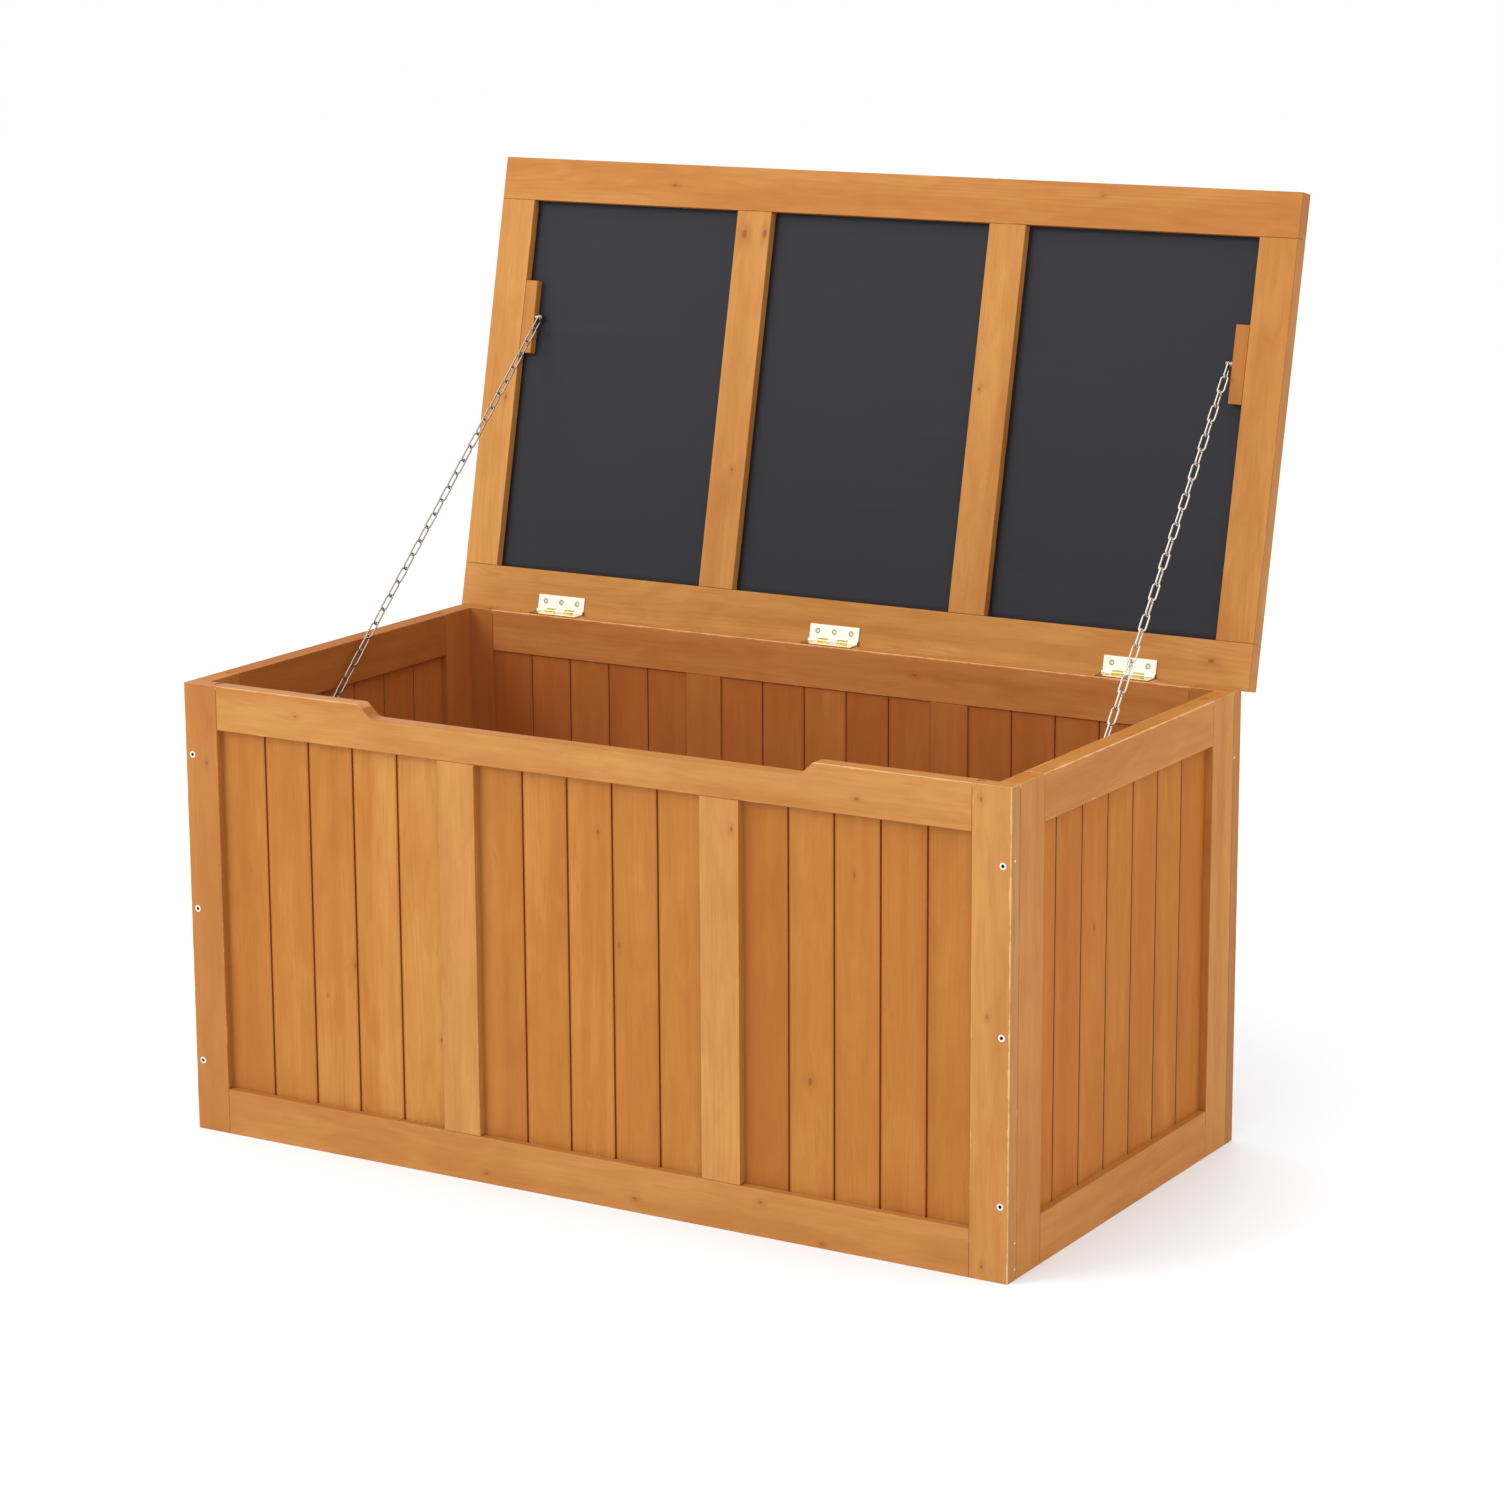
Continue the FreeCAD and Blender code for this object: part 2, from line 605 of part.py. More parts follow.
def build_wall_screws():
    """Three screws through each front and back stile into the side walls, and their holes."""
    corners = [
        (HEX_SOCKET_RADIUS * math.cos(math.radians(60 * i)),
         HEX_SOCKET_RADIUS * math.sin(math.radians(60 * i)), 0) for i in range(6)]
    hole = wall_screw_body()
    screw = hole.cut(prism(corners, FreeCAD.Vector(0, 0, -HEX_SOCKET_DEPTH)))
    screws = []
    holes = []
    for y, spin in ((0.0, 90), (BOX_DEPTH, -90)):
        for x in (-HALF_WIDTH + WALL_SCREW_INSET, HALF_WIDTH - WALL_SCREW_INSET):
            for z in WALL_SCREW_HEIGHTS:
                for shape, kept in ((screw, screws), (hole, holes)):
                    turned = shape.copy()
                    turned.rotate(FreeCAD.Vector(0, 0, 0), X_AXIS, spin)
                    kept.append(turned.translated(FreeCAD.Vector(x, y, z)))
    return screws, holes


def build_brads():
    """Brads driven into the outer edges of the front and back stiles, heads flush."""
    head = Part.makeCylinder(BRAD_HEAD_RADIUS, 0.8, FreeCAD.Vector(0, 0, -0.8))
    shank = Part.makeCylinder(
        BRAD_SHANK_RADIUS, BRAD_LENGTH - 1.5, FreeCAD.Vector(0, 0, -BRAD_LENGTH + 1.5))
    point = Part.makeCone(0.2, BRAD_SHANK_RADIUS, 1.5, FreeCAD.Vector(0, 0, -BRAD_LENGTH))
    brad = head.fuse([shank, point])
    solids = []
    for side, sign in SIDES:
        for y, z in BRAD_PLACES:
            solids.append(mirrored(
                placed(brad, FreeCAD.Vector(HALF_WIDTH, y, z), Y_AXIS, Z_AXIS), sign))
    return {"frame_brads": solids}


# ---------------------------------------------------------------- chain stays
def lid_anchor(sign):
    """Chain screw on the lid's block, on the chain's centre line, lid open."""
    closed = FreeCAD.Vector(
        sign * (BLOCK_INNER_X - CHAIN_STANDOFF), PIN_Y - BLOCK_REACH,
        LID_INNER_Z + BLACKBOARD_RECESS / 2)
    turn = FreeCAD.Rotation(X_AXIS, -LID_OPEN_ANGLE)
    return PIN_POINT + turn.multVec(closed - PIN_POINT)


def box_anchor(sign):
    """Chain screw on the side wall's block, on the chain's centre line."""
    return FreeCAD.Vector(
        sign * (BOX_BLOCK_FACE_X - CHAIN_STANDOFF), BOX_ANCHOR_Y, BOX_ANCHOR_Z)


def chain_sizes():
    """Length of the chain between its screws, link pitch, and screw to first link's middle."""
    span = (box_anchor(1) - lid_anchor(1)).Length
    seat = CHAIN_WIRE / 2 + CHAIN_SCREW_RADIUS + 0.15
    pitch = (span + 2 * seat - LINK_PITCH_EXTRA) / CHAIN_LINKS
    first = (pitch + LINK_PITCH_EXTRA) / 2 - seat
    return span, pitch, first


def chain_link(pitch):
    """One welded link round the origin: long way along X, flat in the XY plane."""
    half_straight = (pitch + LINK_PITCH_EXTRA) / 2 - (CHAIN_LINK_WIDTH - CHAIN_WIRE) / 2
    bend = (CHAIN_LINK_WIDTH - CHAIN_WIRE) / 2
    path = [
        Part.LineSegment(FreeCAD.Vector(-half_straight, bend, 0),
                         FreeCAD.Vector(half_straight, bend, 0)).toShape(),
        Part.Arc(FreeCAD.Vector(half_straight, bend, 0),
                 FreeCAD.Vector(half_straight + bend, 0, 0),
                 FreeCAD.Vector(half_straight, -bend, 0)).toShape(),
        Part.LineSegment(FreeCAD.Vector(half_straight, -bend, 0),
                         FreeCAD.Vector(-half_straight, -bend, 0)).toShape(),
        Part.Arc(FreeCAD.Vector(-half_straight, -bend, 0),
                 FreeCAD.Vector(-half_straight - bend, 0, 0),
                 FreeCAD.Vector(-half_straight, bend, 0)).toShape()]
    wire = Part.Wire(path)
    section = Part.Wire(Part.makeCircle(
        CHAIN_WIRE / 2, FreeCAD.Vector(-half_straight, bend, 0), X_AXIS))
    return wire.makePipeShell([section], True, False)


def build_chain(side, sign):
    """One chain: links alternately across and along the X direction, in rigid segments."""
    start = lid_anchor(sign)
    span, pitch, first = chain_sizes()
    along = (box_anchor(sign) - start) * (1 / span)
    across = (X_AXIS - along * X_AXIS.dot(along)).normalize()
    upright_width = along.cross(across)
    link = chain_link(pitch)
    limits = (0,) + CHAIN_SEGMENT_ENDS + (CHAIN_LINKS,)
    nodes = {}
    for number in range(len(limits) - 1):
        solids = []
        for i in range(limits[number], limits[number + 1]):
            centre = start + along * (first + i * pitch)
            width_axis = across if i % 2 else upright_width
            solids.append(placed(link, centre, along, width_axis))
        nodes["%s_chain_%d" % (side, number + 1)] = solids
    return nodes


def chain_screw(washer_radius):
    """Round-headed screw along -Z with a spacer collar; z = 0 is the wood's face."""
    link_half = CHAIN_WIRE / 2 + 0.3
    collar = Part.makeCylinder(washer_radius - 0.8, CHAIN_STANDOFF - link_half)
    neck = Part.makeCylinder(CHAIN_SCREW_RADIUS, CHAIN_STANDOFF + link_half)
    washer_z = CHAIN_STANDOFF + link_half
    washer = Part.makeCylinder(washer_radius, 0.9, FreeCAD.Vector(0, 0, washer_z))
    dome_radius = washer_radius - 0.2
    dome_height = dome_radius / 2
    ball = Part.makeSphere(dome_radius, FreeCAD.Vector(0, 0, dome_height - dome_radius))
    dome = ball.common(Part.makeBox(10, 10, 5, FreeCAD.Vector(-5, -5, 0)))
    dome = dome.translated(FreeCAD.Vector(0, 0, washer_z + 0.9))
    shank = Part.makeCylinder(
        CHAIN_SCREW_RADIUS, CHAIN_SCREW_GRIP, FreeCAD.Vector(0, 0, -CHAIN_SCREW_GRIP))
    point = Part.makeCone(
        0.3, CHAIN_SCREW_RADIUS, 3.0, FreeCAD.Vector(0, 0, -CHAIN_SCREW_GRIP - 3.0))
    screw = collar.fuse([neck, washer, dome, shank, point])
    top = washer_z + 0.9 + dome_height
    for recess in (
            box((-1.8, -0.4, top - 1.5), (1.8, 0.4, top + 1)),
            box((-0.4, -1.8, top - 1.5), (0.4, 1.8, top + 1))):
        screw = screw.cut(recess)
    return screw


def build_chain_screws():
    """The lid's two chain screws, drawn with the lid closed, and the box's two."""
    closed_anchor = FreeCAD.Vector(
        BLOCK_INNER_X, PIN_Y - BLOCK_REACH, LID_INNER_Z + BLACKBOARD_RECESS / 2)
    rim_anchor = FreeCAD.Vector(BOX_BLOCK_FACE_X, BOX_ANCHOR_Y, BOX_ANCHOR_Z)
    lid_screw = placed(chain_screw(LID_WASHER_RADIUS), closed_anchor, Y_AXIS, Z_AXIS * -1)
    box_screw = placed(chain_screw(BOX_WASHER_RADIUS), rim_anchor, Y_AXIS, Z_AXIS * -1)
    return {
        "lid_chain_screws": [mirrored(lid_screw, sign) for side, sign in SIDES],
        "box_chain_screws": [mirrored(box_screw, sign) for side, sign in SIDES]}


def build_box_blocks():
    """Blocks on the side boards, under the top rails, that hold the chains' lower ends."""
    nodes = {}
    for side, sign in SIDES:
        block = eased(box(
            (BOX_BLOCK_FACE_X, BOX_ANCHOR_Y - BLOCK_WIDTH / 2, BOX_ANCHOR_Z - BLOCK_LENGTH / 2),
            (SIDE_BOARD_INNER_X, BOX_ANCHOR_Y + BLOCK_WIDTH / 2,
             BOX_ANCHOR_Z + BLOCK_LENGTH / 2)))
        nodes["%s_side_chain_block" % side] = [mirrored(block, sign)]
    return nodes


# ---------------------------------------------------------------- assembly
def drilled(nodes, names, screws):
    """Cut each screw's own shape out of the named pieces it enters."""
    for name in names:
        result = []
        for solid in nodes[name]:
            near = [s for s in screws if s.BoundBox.intersect(solid.BoundBox)]
            result.append(solid.cut(near) if near else solid)
        nodes[name] = result


def build_all():
    """Every node of the toy box with the lid open, front face at y = 0."""
    fixed = {}
    fixed.update(build_walls())
    fixed.update(build_floor())
    fixed.update(build_box_blocks())
    moving = build_lid()
    hinges = build_hinges()
    chain_screws = build_chain_screws()
    fixed["wall_screws"], wall_screw_holes = build_wall_screws()
    fixed.update(build_brads())
    drilled(fixed, [n for n in fixed if n.endswith("_stile")],
            wall_screw_holes + fixed["frame_brads"])
    drilled(fixed, ["back_top_rail"], hinges["hinge_box_screws"])
    drilled(fixed, ["left_side_chain_block", "right_side_chain_block", "left_side_boards",
                    "right_side_boards"], chain_screws["box_chain_screws"])
    drilled(moving, ["lid_rear_rail"], hinges["hinge_lid_screws"])
    drilled(moving, ["lid_left_chain_block", "lid_right_chain_block"],
            chain_screws["lid_chain_screws"])
    fixed["box_chain_screws"] = chain_screws["box_chain_screws"]
    moving["lid_chain_screws"] = chain_screws["lid_chain_screws"]
    for name in ("hinge_box_leaves", "hinge_box_screws", "hinge_pins"):
        fixed[name] = hinges[name]
    for name in ("hinge_lid_leaves", "hinge_lid_screws"):
        moving[name] = hinges[name]
    nodes = dict(fixed)
    for name, solids in moving.items():
        nodes[name] = [opened(solid) for solid in solids]
    for side, sign in SIDES:
        nodes.update(build_chain(side, sign))
    return nodes


def origin_shift():
    """From the model's own origin to the middle of the whole object's depth.

    The rearmost point is on the rounded arris at the top of the open lid's free edge.
    """
    arris_centre = FreeCAD.Vector(0, LID_FRONT_Y + EASE, LID_TOP_Z - EASE)
    turn = FreeCAD.Rotation(X_AXIS, -LID_OPEN_ANGLE)
    rear = PIN_POINT + turn.multVec(arris_centre - PIN_POINT)
    return FreeCAD.Vector(0, -(rear.y + EASE) / 2, 0)


def main():
    os.makedirs("parts", exist_ok=True)
    shift = origin_shift()
    for name, solids in build_all().items():
        shapes = []
        for solid in solids:
            shapes += solid.translated(shift).Solids
        shape = shapes[0] if len(shapes) == 1 else Part.makeCompound(shapes)
        shape.exportStep("parts/%s.step" % name)
        print("%-26s %3d solids" % (name, len(shapes)))


main()
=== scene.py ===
import math

import bpy
from mathutils import Matrix, Vector


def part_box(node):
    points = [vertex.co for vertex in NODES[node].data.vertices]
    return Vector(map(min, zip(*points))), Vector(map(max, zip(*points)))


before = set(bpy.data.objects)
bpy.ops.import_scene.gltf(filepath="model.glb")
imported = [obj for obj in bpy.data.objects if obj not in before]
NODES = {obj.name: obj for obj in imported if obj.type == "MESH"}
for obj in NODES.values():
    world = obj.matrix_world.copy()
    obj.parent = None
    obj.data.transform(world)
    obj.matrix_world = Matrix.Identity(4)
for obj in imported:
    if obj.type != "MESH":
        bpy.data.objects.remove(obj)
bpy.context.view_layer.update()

# ------------------------------------------------------------------ places, in metres
MM = 0.001
FRONT_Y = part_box("front_left_stile")[0][1]
BACK_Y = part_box("back_left_stile")[1][1]
RIM_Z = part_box("front_left_stile")[1][2]
RIGHT_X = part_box("front_right_stile")[1][0]
PIN_LOW, PIN_HIGH = (Vector(v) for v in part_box("hinge_pins"))
PIN = (PIN_LOW + PIN_HIGH) / 2
LID_OPEN = math.radians(102.3)      # from closed to the rest pose
BOARD_RECESS = 8.5 * MM             # the boards' faces lie this far behind their frame's
IN_GROOVE = 7.0 * MM                # how far a row's end boards reach into the frame
LID_MULLION = 45.0 * MM             # between two bays of the lid's boards
SIDE_FIRST_BOARD = 43.0 * MM        # the narrower board at the front of each side


# ------------------------------------------------------------------ node helpers
class Tree:
    """A material's node tree with short ways to add the nodes used here."""

    def __init__(self, name):
        self.material = bpy.data.materials.new(name)
        self.material.use_nodes = True
        self.tree = self.material.node_tree
        self.tree.nodes.clear()
        self.shader = self.add("ShaderNodeBsdfPrincipled")
        output = self.add("ShaderNodeOutputMaterial")
        self.link(self.shader.outputs["BSDF"], output.inputs["Surface"])

    def add(self, kind):
        return self.tree.nodes.new(kind)

    def link(self, source, target):
        if isinstance(source, (int, float)):
            target.default_value = source
        elif isinstance(source, (tuple, list, Vector)):
            value = tuple(source)
            if len(value) == 3 and len(target.default_value) == 4:
                value += (1.0,)
            target.default_value = value
        else:
            self.tree.links.new(source, target)

    def math(self, operation, a, b=0.0, c=0.0, clamp=False):
        node = self.add("ShaderNodeMath")
        node.operation = operation
        node.use_clamp = clamp
        for value, socket in zip((a, b, c), node.inputs):
            self.link(value, socket)
        return node.outputs[0]

    def hypotenuse(self, a, b):
        squares = (self.math("MULTIPLY", a, a), self.math("MULTIPLY", b, b))
        return self.math("SQRT", self.math("ADD", *squares))

    def vector(self, operation, a, b=(0.0, 0.0, 0.0)):
        node = self.add("ShaderNodeVectorMath")
        node.operation = operation
        self.link(a, node.inputs[0])
        if operation == "SCALE":
            self.link(b, node.inputs["Scale"])
        else:
            self.link(b, node.inputs[1])
        return node.outputs[1 if operation in ("LENGTH", "DOT_PRODUCT") else 0]

    def split(self, vector):
        node = self.add("ShaderNodeSeparateXYZ")
        self.link(vector, node.inputs[0])
        return node.outputs

    def mix(self, factor, a, b, blend="MIX"):
        node = self.add("ShaderNodeMix")
        node.data_type = "RGBA"
        node.blend_type = blend
        self.link(factor, node.inputs["Factor"])
        for value, socket in ((a, node.inputs[6]), (b, node.inputs[7])):
            self.link(value, socket)
        return node.outputs[2]

    def noise(self, vector, scale, detail=2.0, roughness=0.5, distortion=0.0):
        node = self.add("ShaderNodeTexNoise")
        self.link(vector, node.inputs["Vector"])
        node.inputs["Scale"].default_value = scale
        node.inputs["Detail"].default_value = detail
        node.inputs["Roughness"].default_value = roughness
        node.inputs["Distortion"].default_value = distortion
        return node.outputs["Fac"]

    def stretched_noise(self, vector, stretch, detail=2.0, roughness=0.5, distortion=0.0):
        return self.noise(self.vector("MULTIPLY", vector, stretch), 1.0, detail, roughness,
                          distortion)

    def ramp(self, value, low, high, to_low=0.0, to_high=1.0, smooth=True):
        node = self.add("ShaderNodeMapRange")
        node.interpolation_type = "SMOOTHSTEP" if smooth else "LINEAR"
        self.link(value, node.inputs["Value"])
        for name, number in (("From Min", low), ("From Max", high),
                             ("To Min", to_low), ("To Max", to_high)):
            self.link(number, node.inputs[name])
        return node.outputs["Result"]

    def steps(self, value, levels):
        """Constant steps of grey, one per level, over 0 to 1."""
        node = self.add("ShaderNodeValToRGB")
        node.color_ramp.interpolation = "CONSTANT"
        elements = node.color_ramp.elements
        while len(elements) < len(levels):
            elements.new(1.0)
        for i, level in enumerate(levels):
            elements[i].position = i / len(levels)
            elements[i].color = (level, level, level, 1.0)
        self.link(value, node.inputs["Fac"])
        return node.outputs["Color"]

    def lean(self, vector):
        """The position turned so that z runs up the open lid."""
        node = self.add("ShaderNodeMapping")
        node.inputs["Rotation"].default_value = LID_LEAN.to_euler()
        self.link(vector, node.inputs["Vector"])
        return node.outputs["Vector"]

    def bump(self, height, strength, distance):
        node = self.add("ShaderNodeBump")
        node.inputs["Strength"].default_value = strength
        node.inputs["Distance"].default_value = distance
        self.link(height, node.inputs["Height"])
        return node.outputs["Normal"]


# ------------------------------------------------------------------ wood
# Each matrix turns the object's axes to the grain's: x across the face, y through the thickness
# and z along the grain.
LID_LEAN = Matrix.Rotation(LID_OPEN - math.radians(90), 3, "X")
ALONG_X = Matrix(((0, 0, 1), (0, 1, 0), (-1, 0, 0)))
GRAIN = {
    "upright_front": Matrix.Identity(3),
    "upright_side": Matrix(((0, 1, 0), (-1, 0, 0), (0, 0, 1))),
    "along_x": ALONG_X,
    "along_y": Matrix(((0, 0, 1), (-1, 0, 0), (0, -1, 0))),
    "lid_upright": LID_LEAN,
    "lid_along_x": ALONG_X @ LID_LEAN,
}

HONEY = (0.430, 0.168, 0.036)
HONEY_LIGHT = (0.545, 0.255, 0.068)
HONEY_RED = (0.362, 0.122, 0.024)
# dark stain for smudges, fibres and knots' halos; also the colour of the painted shade in arrises
SMUDGE_AND_SHADE = (0.285, 0.088, 0.017)
KNOT = (0.190, 0.058, 0.012)
# painted shade in the depths of the joints between boards; the second, deeper one on the sides'
# boards
JOINT_PAINTED_SHADE = (0.330, 0.070, 0.004)
JOINT_PAINTED_DEEP_SHADE = (0.200, 0.030, 0.002)
# rubbed bare wood on handled arrises, also used for painted highlights on arrises and bevels
BARE_EDGE_AND_HIGHLIGHT = (0.680, 0.420, 0.185)

# painted shade and bounce light, multiplied into the colour: the inside, in shade and lit by light
# bouncing from wall to wall, is darker and redder
INSIDE_SHADE_AND_BOUNCE_TINT = (1.0, 0.62, 0.74)
# painted light: the right side, seen at a grazing angle under the studio's light, gets a warmer
# tint
RIGHT_BOARDS_PAINTED_LIGHT = (1.09, 1.01, 0.98)
RIGHT_FRAME_PAINTED_LIGHT = (1.05, 1.01, 0.92)
INWARDS = {"back": (0, -1, 0), "left": (1, 0, 0), "right": (-1, 0, 0)}


def extent(node, turn):
    """Lowest and highest corner of a node's mesh in turned axes."""
    points = [turn @ v.co for v in NODES[node].data.vertices]
    low = [min(p[i] for p in points) for i in range(3)]
    high = [max(p[i] for p in points) for i in range(3)]
    return low, high


def near_side(t, value, low, high):
    """Distance from a coordinate to the nearer of its two limits."""
    return t.math("MINIMUM", t.math("SUBTRACT", value, low), t.math("SUBTRACT", high, value))


class Wood(Tree):
    """Oiled softwood for one node, worked out in the grain's axes."""

    def __init__(self, node, grain, seed):
        super().__init__(node)
        self.node = node
        self.seed = seed
        self.turn = GRAIN[grain]
        texture = self.add("ShaderNodeTexCoord")
        self.position = texture.outputs["Object"]
        self.normal = texture.outputs["Normal"]
        turned = self.turn_to_grain(self.position, "POINT")
        facing = self.turn_to_grain(self.normal, "NORMAL")
        self.across, self.through, _ = self.split(turned)
        self.facing = self.split(self.vector("ABSOLUTE", facing))
        self.rounded = self.off_flat_faces()
        self.low, self.high = extent(node, self.turn)
        shift = (seed * 7.31 % 5, seed * 3.17 % 5, seed * 11.9 % 9)
        self.place = self.vector("ADD", turned, shift)

    def turn_to_grain(self, vector, kind):
        node = self.add("ShaderNodeMapping")
        node.vector_type = kind
        node.inputs["Rotation"].default_value = self.turn.to_euler()
        self.link(vector, node.inputs["Vector"])
        return node.outputs["Vector"]

    def measure_row(self, boards):
        """Distance along the row of boards, mullions left out, and the boards' pitch."""
        span = self.high[0] - self.low[0] - 2 * IN_GROOVE
        along = self.math("SUBTRACT", self.across, self.low[0] + IN_GROOVE)
        if self.node == "lid_boards":
            bay = self.math("FLOOR", self.math("DIVIDE", along, (span + LID_MULLION) / 3))
            along = self.math("SUBTRACT", along, self.math("MULTIPLY", bay, LID_MULLION))
            return along, (span - 2 * LID_MULLION) / boards
        if "side" in self.node:
            pitch = (span - SIDE_FIRST_BOARD) / (boards - 1)
            return self.math("ADD", along, pitch - SIDE_FIRST_BOARD), pitch
        return along, span / boards

    def lay_boards(self, tones):
        """Give each board of the row its own figure, and return the boards' tones."""
        along, self.pitch = self.measure_row(len(tones))
        self.along_row = self.math("DIVIDE", along, self.pitch)
        index = self.math("FLOOR", self.along_row)
        chance = self.add("ShaderNodeTexWhiteNoise")
        chance.noise_dimensions = "1D"
        self.link(self.math("ADD", index, self.seed * 13.7), chance.inputs["W"])
        shift = self.vector("SCALE", chance.outputs["Color"], 3.0)
        self.place = self.vector("ADD", self.place, shift)
        middle = self.math("ADD", index, 0.5)
        return self.steps(self.math("DIVIDE", middle, float(len(tones))), tones)

    def growth_rings(self):
        """Late wood of rings round a pith behind the face, wandering along the length."""
        wander = self.stretched_noise(self.place, (9.0, 9.0, 0.9), 2.0, 0.45)
        cells = self.vector("FRACTION", self.vector("MULTIPLY", self.place, (2.2, 2.2, 0.0)))
        cell_x, cell_y, _ = self.split(cells)
        radius = self.hypotenuse(self.math("SUBTRACT", cell_x, 0.5),
                                 self.math("ADD", cell_y, 0.05))
        ring = self.math("FRACT", self.math("ADD", self.math("MULTIPLY", radius, 70.0),
                                            self.math("MULTIPLY", wander, 30.0)))
        return self.math("MULTIPLY", self.ramp(ring, 0.20, 0.86), self.ramp(ring, 0.99, 0.88))

    def grow(self):
        """Rings, soft streaks, fibres and the fields of the stain's uneven take-up."""
        self.late_wood = self.growth_rings()
        self.streaks = self.stretched_noise(self.place, (70.0, 70.0, 2.6), 3.0, 0.55)
        self.fibres = self.stretched_noise(self.place, (560.0, 560.0, 16.0), 3.0, 0.6)
        self.patches = self.stretched_noise(self.place, (14.0, 14.0, 4.2), 2.0, 0.5, 0.8)
        self.blotches = self.stretched_noise(self.place, (52.0, 52.0, 15.0), 2.0, 0.5, 1.1)
        self.bands = self.stretched_noise(self.place, (26.0, 26.0, 0.9), 1.0, 0.5)

    def stain(self, tone):
        """Honey-coloured oil, taken up unevenly."""
        level = tone
        for field, amount in ((self.patches, 0.95), (self.blotches, 0.62),
                              (self.streaks, 0.62), (self.bands, 0.75)):
            level = self.math("MULTIPLY_ADD", self.math("SUBTRACT", field, 0.5), amount, level)
        pale = self.mix(self.ramp(level, 0.5, 1.15, smooth=False), HONEY, HONEY_LIGHT)
        colour = self.mix(self.ramp(level, 0.5, -0.1, smooth=False), pale, HONEY_RED)
        rings = self.math("MULTIPLY", self.late_wood,
                          self.ramp(self.patches, 0.30, 0.72, 0.0, 0.18))
        colour = self.mix(rings, colour, HONEY_RED)
        colour = self.mix(self.ramp(self.fibres, 0.50, 0.82, 0.0, 0.30), colour, SMUDGE_AND_SHADE)
        smudges = self.math("MULTIPLY", self.ramp(self.blotches, 0.60, 0.80),
                            self.ramp(self.streaks, 0.45, 0.75))
        return self.mix(self.math("MULTIPLY", smudges, 0.55), colour, SMUDGE_AND_SHADE)

    def add_knots(self, colour, knots):
        """Pin knots by chance, and the given larger ones in a shadow of darker grain."""
        cells = self.add("ShaderNodeTexVoronoi")
        cells.inputs["Scale"].default_value = 1.0
        self.link(self.vector("MULTIPLY", self.place, (17.0, 17.0, 7.0)), cells.inputs["Vector"])
        chosen = self.add("ShaderNodeSeparateColor")
        self.link(cells.outputs["Color"], chosen.inputs[0])
        pins = self.math("MULTIPLY", self.ramp(cells.outputs["Distance"], 0.045, 0.010),
                         self.ramp(chosen.outputs[0], 0.72, 0.80, 0.0, 0.55))
        halo = 0.0
        for x, y, z, size in knots:
            away = self.vector("SUBTRACT", self.position, (x, y, z))
            away = self.vector("MULTIPLY", away, self.shorten_along_grain())
            distance = self.math("MULTIPLY_ADD", self.math("SUBTRACT", self.blotches, 0.5),
                                 size * 1.2, self.vector("LENGTH", away))
            pins = self.math("MAXIMUM", pins, self.ramp(distance, size, size * 0.4, 0.0, 0.62))
            halo = self.math("MAXIMUM", halo,
                             self.ramp(distance, size * 3.6, size * 0.7, 0.0, 0.30))
        if knots:
            colour = self.mix(halo, colour, SMUDGE_AND_SHADE)
        return self.mix(pins, colour, KNOT)

    def shorten_along_grain(self):
        """Scale for offsets from a knot, which lengthens it along the grain."""
        grain_axis = self.turn.transposed() @ Vector((0.0, 0.0, 1.0))
        return tuple(1.0 - 0.45 * abs(c) for c in grain_axis)

    def off_flat_faces(self):
        """1 on rounded and bevelled arrises, 0 on flat faces."""
        flattest = self.math("MAXIMUM", self.math("MAXIMUM", self.facing[0], self.facing[1]),
                             self.facing[2])
        return self.ramp(flattest, 0.985, 0.86)

    def handled_arrises(self):
        """1 on the rim and the upright corners of the box, which hands rub; 0 elsewhere."""
        if self.node.startswith("lid"):
            return 0.0
        x, y, z = self.split(self.position)
        rim = self.ramp(z, RIM_Z - 5 * MM, RIM_Z - 3 * MM)
        side = self.ramp(self.math("ABSOLUTE", x), RIGHT_X - 4 * MM, RIGHT_X - 3 * MM)
        wall = self.ramp(near_side(self, y, FRONT_Y, BACK_Y), 4 * MM, 3 * MM)
        return self.math("MAXIMUM", rim, self.math("MULTIPLY", side, wall))

    def painted_bevel_highlight(self):
        """Painted highlight on the boards' bevels, where they catch the light."""
        return self.math("MULTIPLY", self.rounded, 0.26)

    def worn_and_highlit_frame(self, wear_and_highlight, handled):
        """How far a frame piece's arrises have worn, in a broken line of uneven width, with a
        painted highlight along their rounding.
        """
        scuff = self.noise(self.position, 34.0, 4.0, 0.68)
        edge = self.math("MAXIMUM", near_side(self, self.across, self.low[0], self.high[0]),
                         near_side(self, self.through, self.low[1], self.high[1]))
        reach = self.ramp(scuff, 0.34, 0.74, 0.3 * MM, (0.6 + 1.3 * wear_and_highlight) * MM)
        rubbed_and_highlit = self.ramp(edge, self.math("ADD", reach, 0.6 * MM), reach, 0.0, 0.30 + 0.6 * wear_and_highlight)
        rubbed_and_highlit = self.math("MAXIMUM", rubbed_and_highlit, self.math("MULTIPLY", self.rounded, 0.5 * wear_and_highlight))
        rubbed_and_highlit = self.math("MULTIPLY", rubbed_and_highlit, self.ramp(scuff, 0.30, 0.52, 0.45, 1.0))
        broken = self.ramp(scuff, 0.54, 0.68, 0.0, 0.35)
        return self.math("MULTIPLY", rubbed_and_highlit, self.math("MAXIMUM", handled, broken))

    def shade_unhandled_arrises(self, colour, handled):
        """Painted shade on the rounded arrises, the creases where pieces meet; less where hands
        rub them.
        """
        kept = self.math("SUBTRACT", 0.65, handled, clamp=True)
        return self.mix(self.math("MULTIPLY", self.rounded, kept), colour, SMUDGE_AND_SHADE)

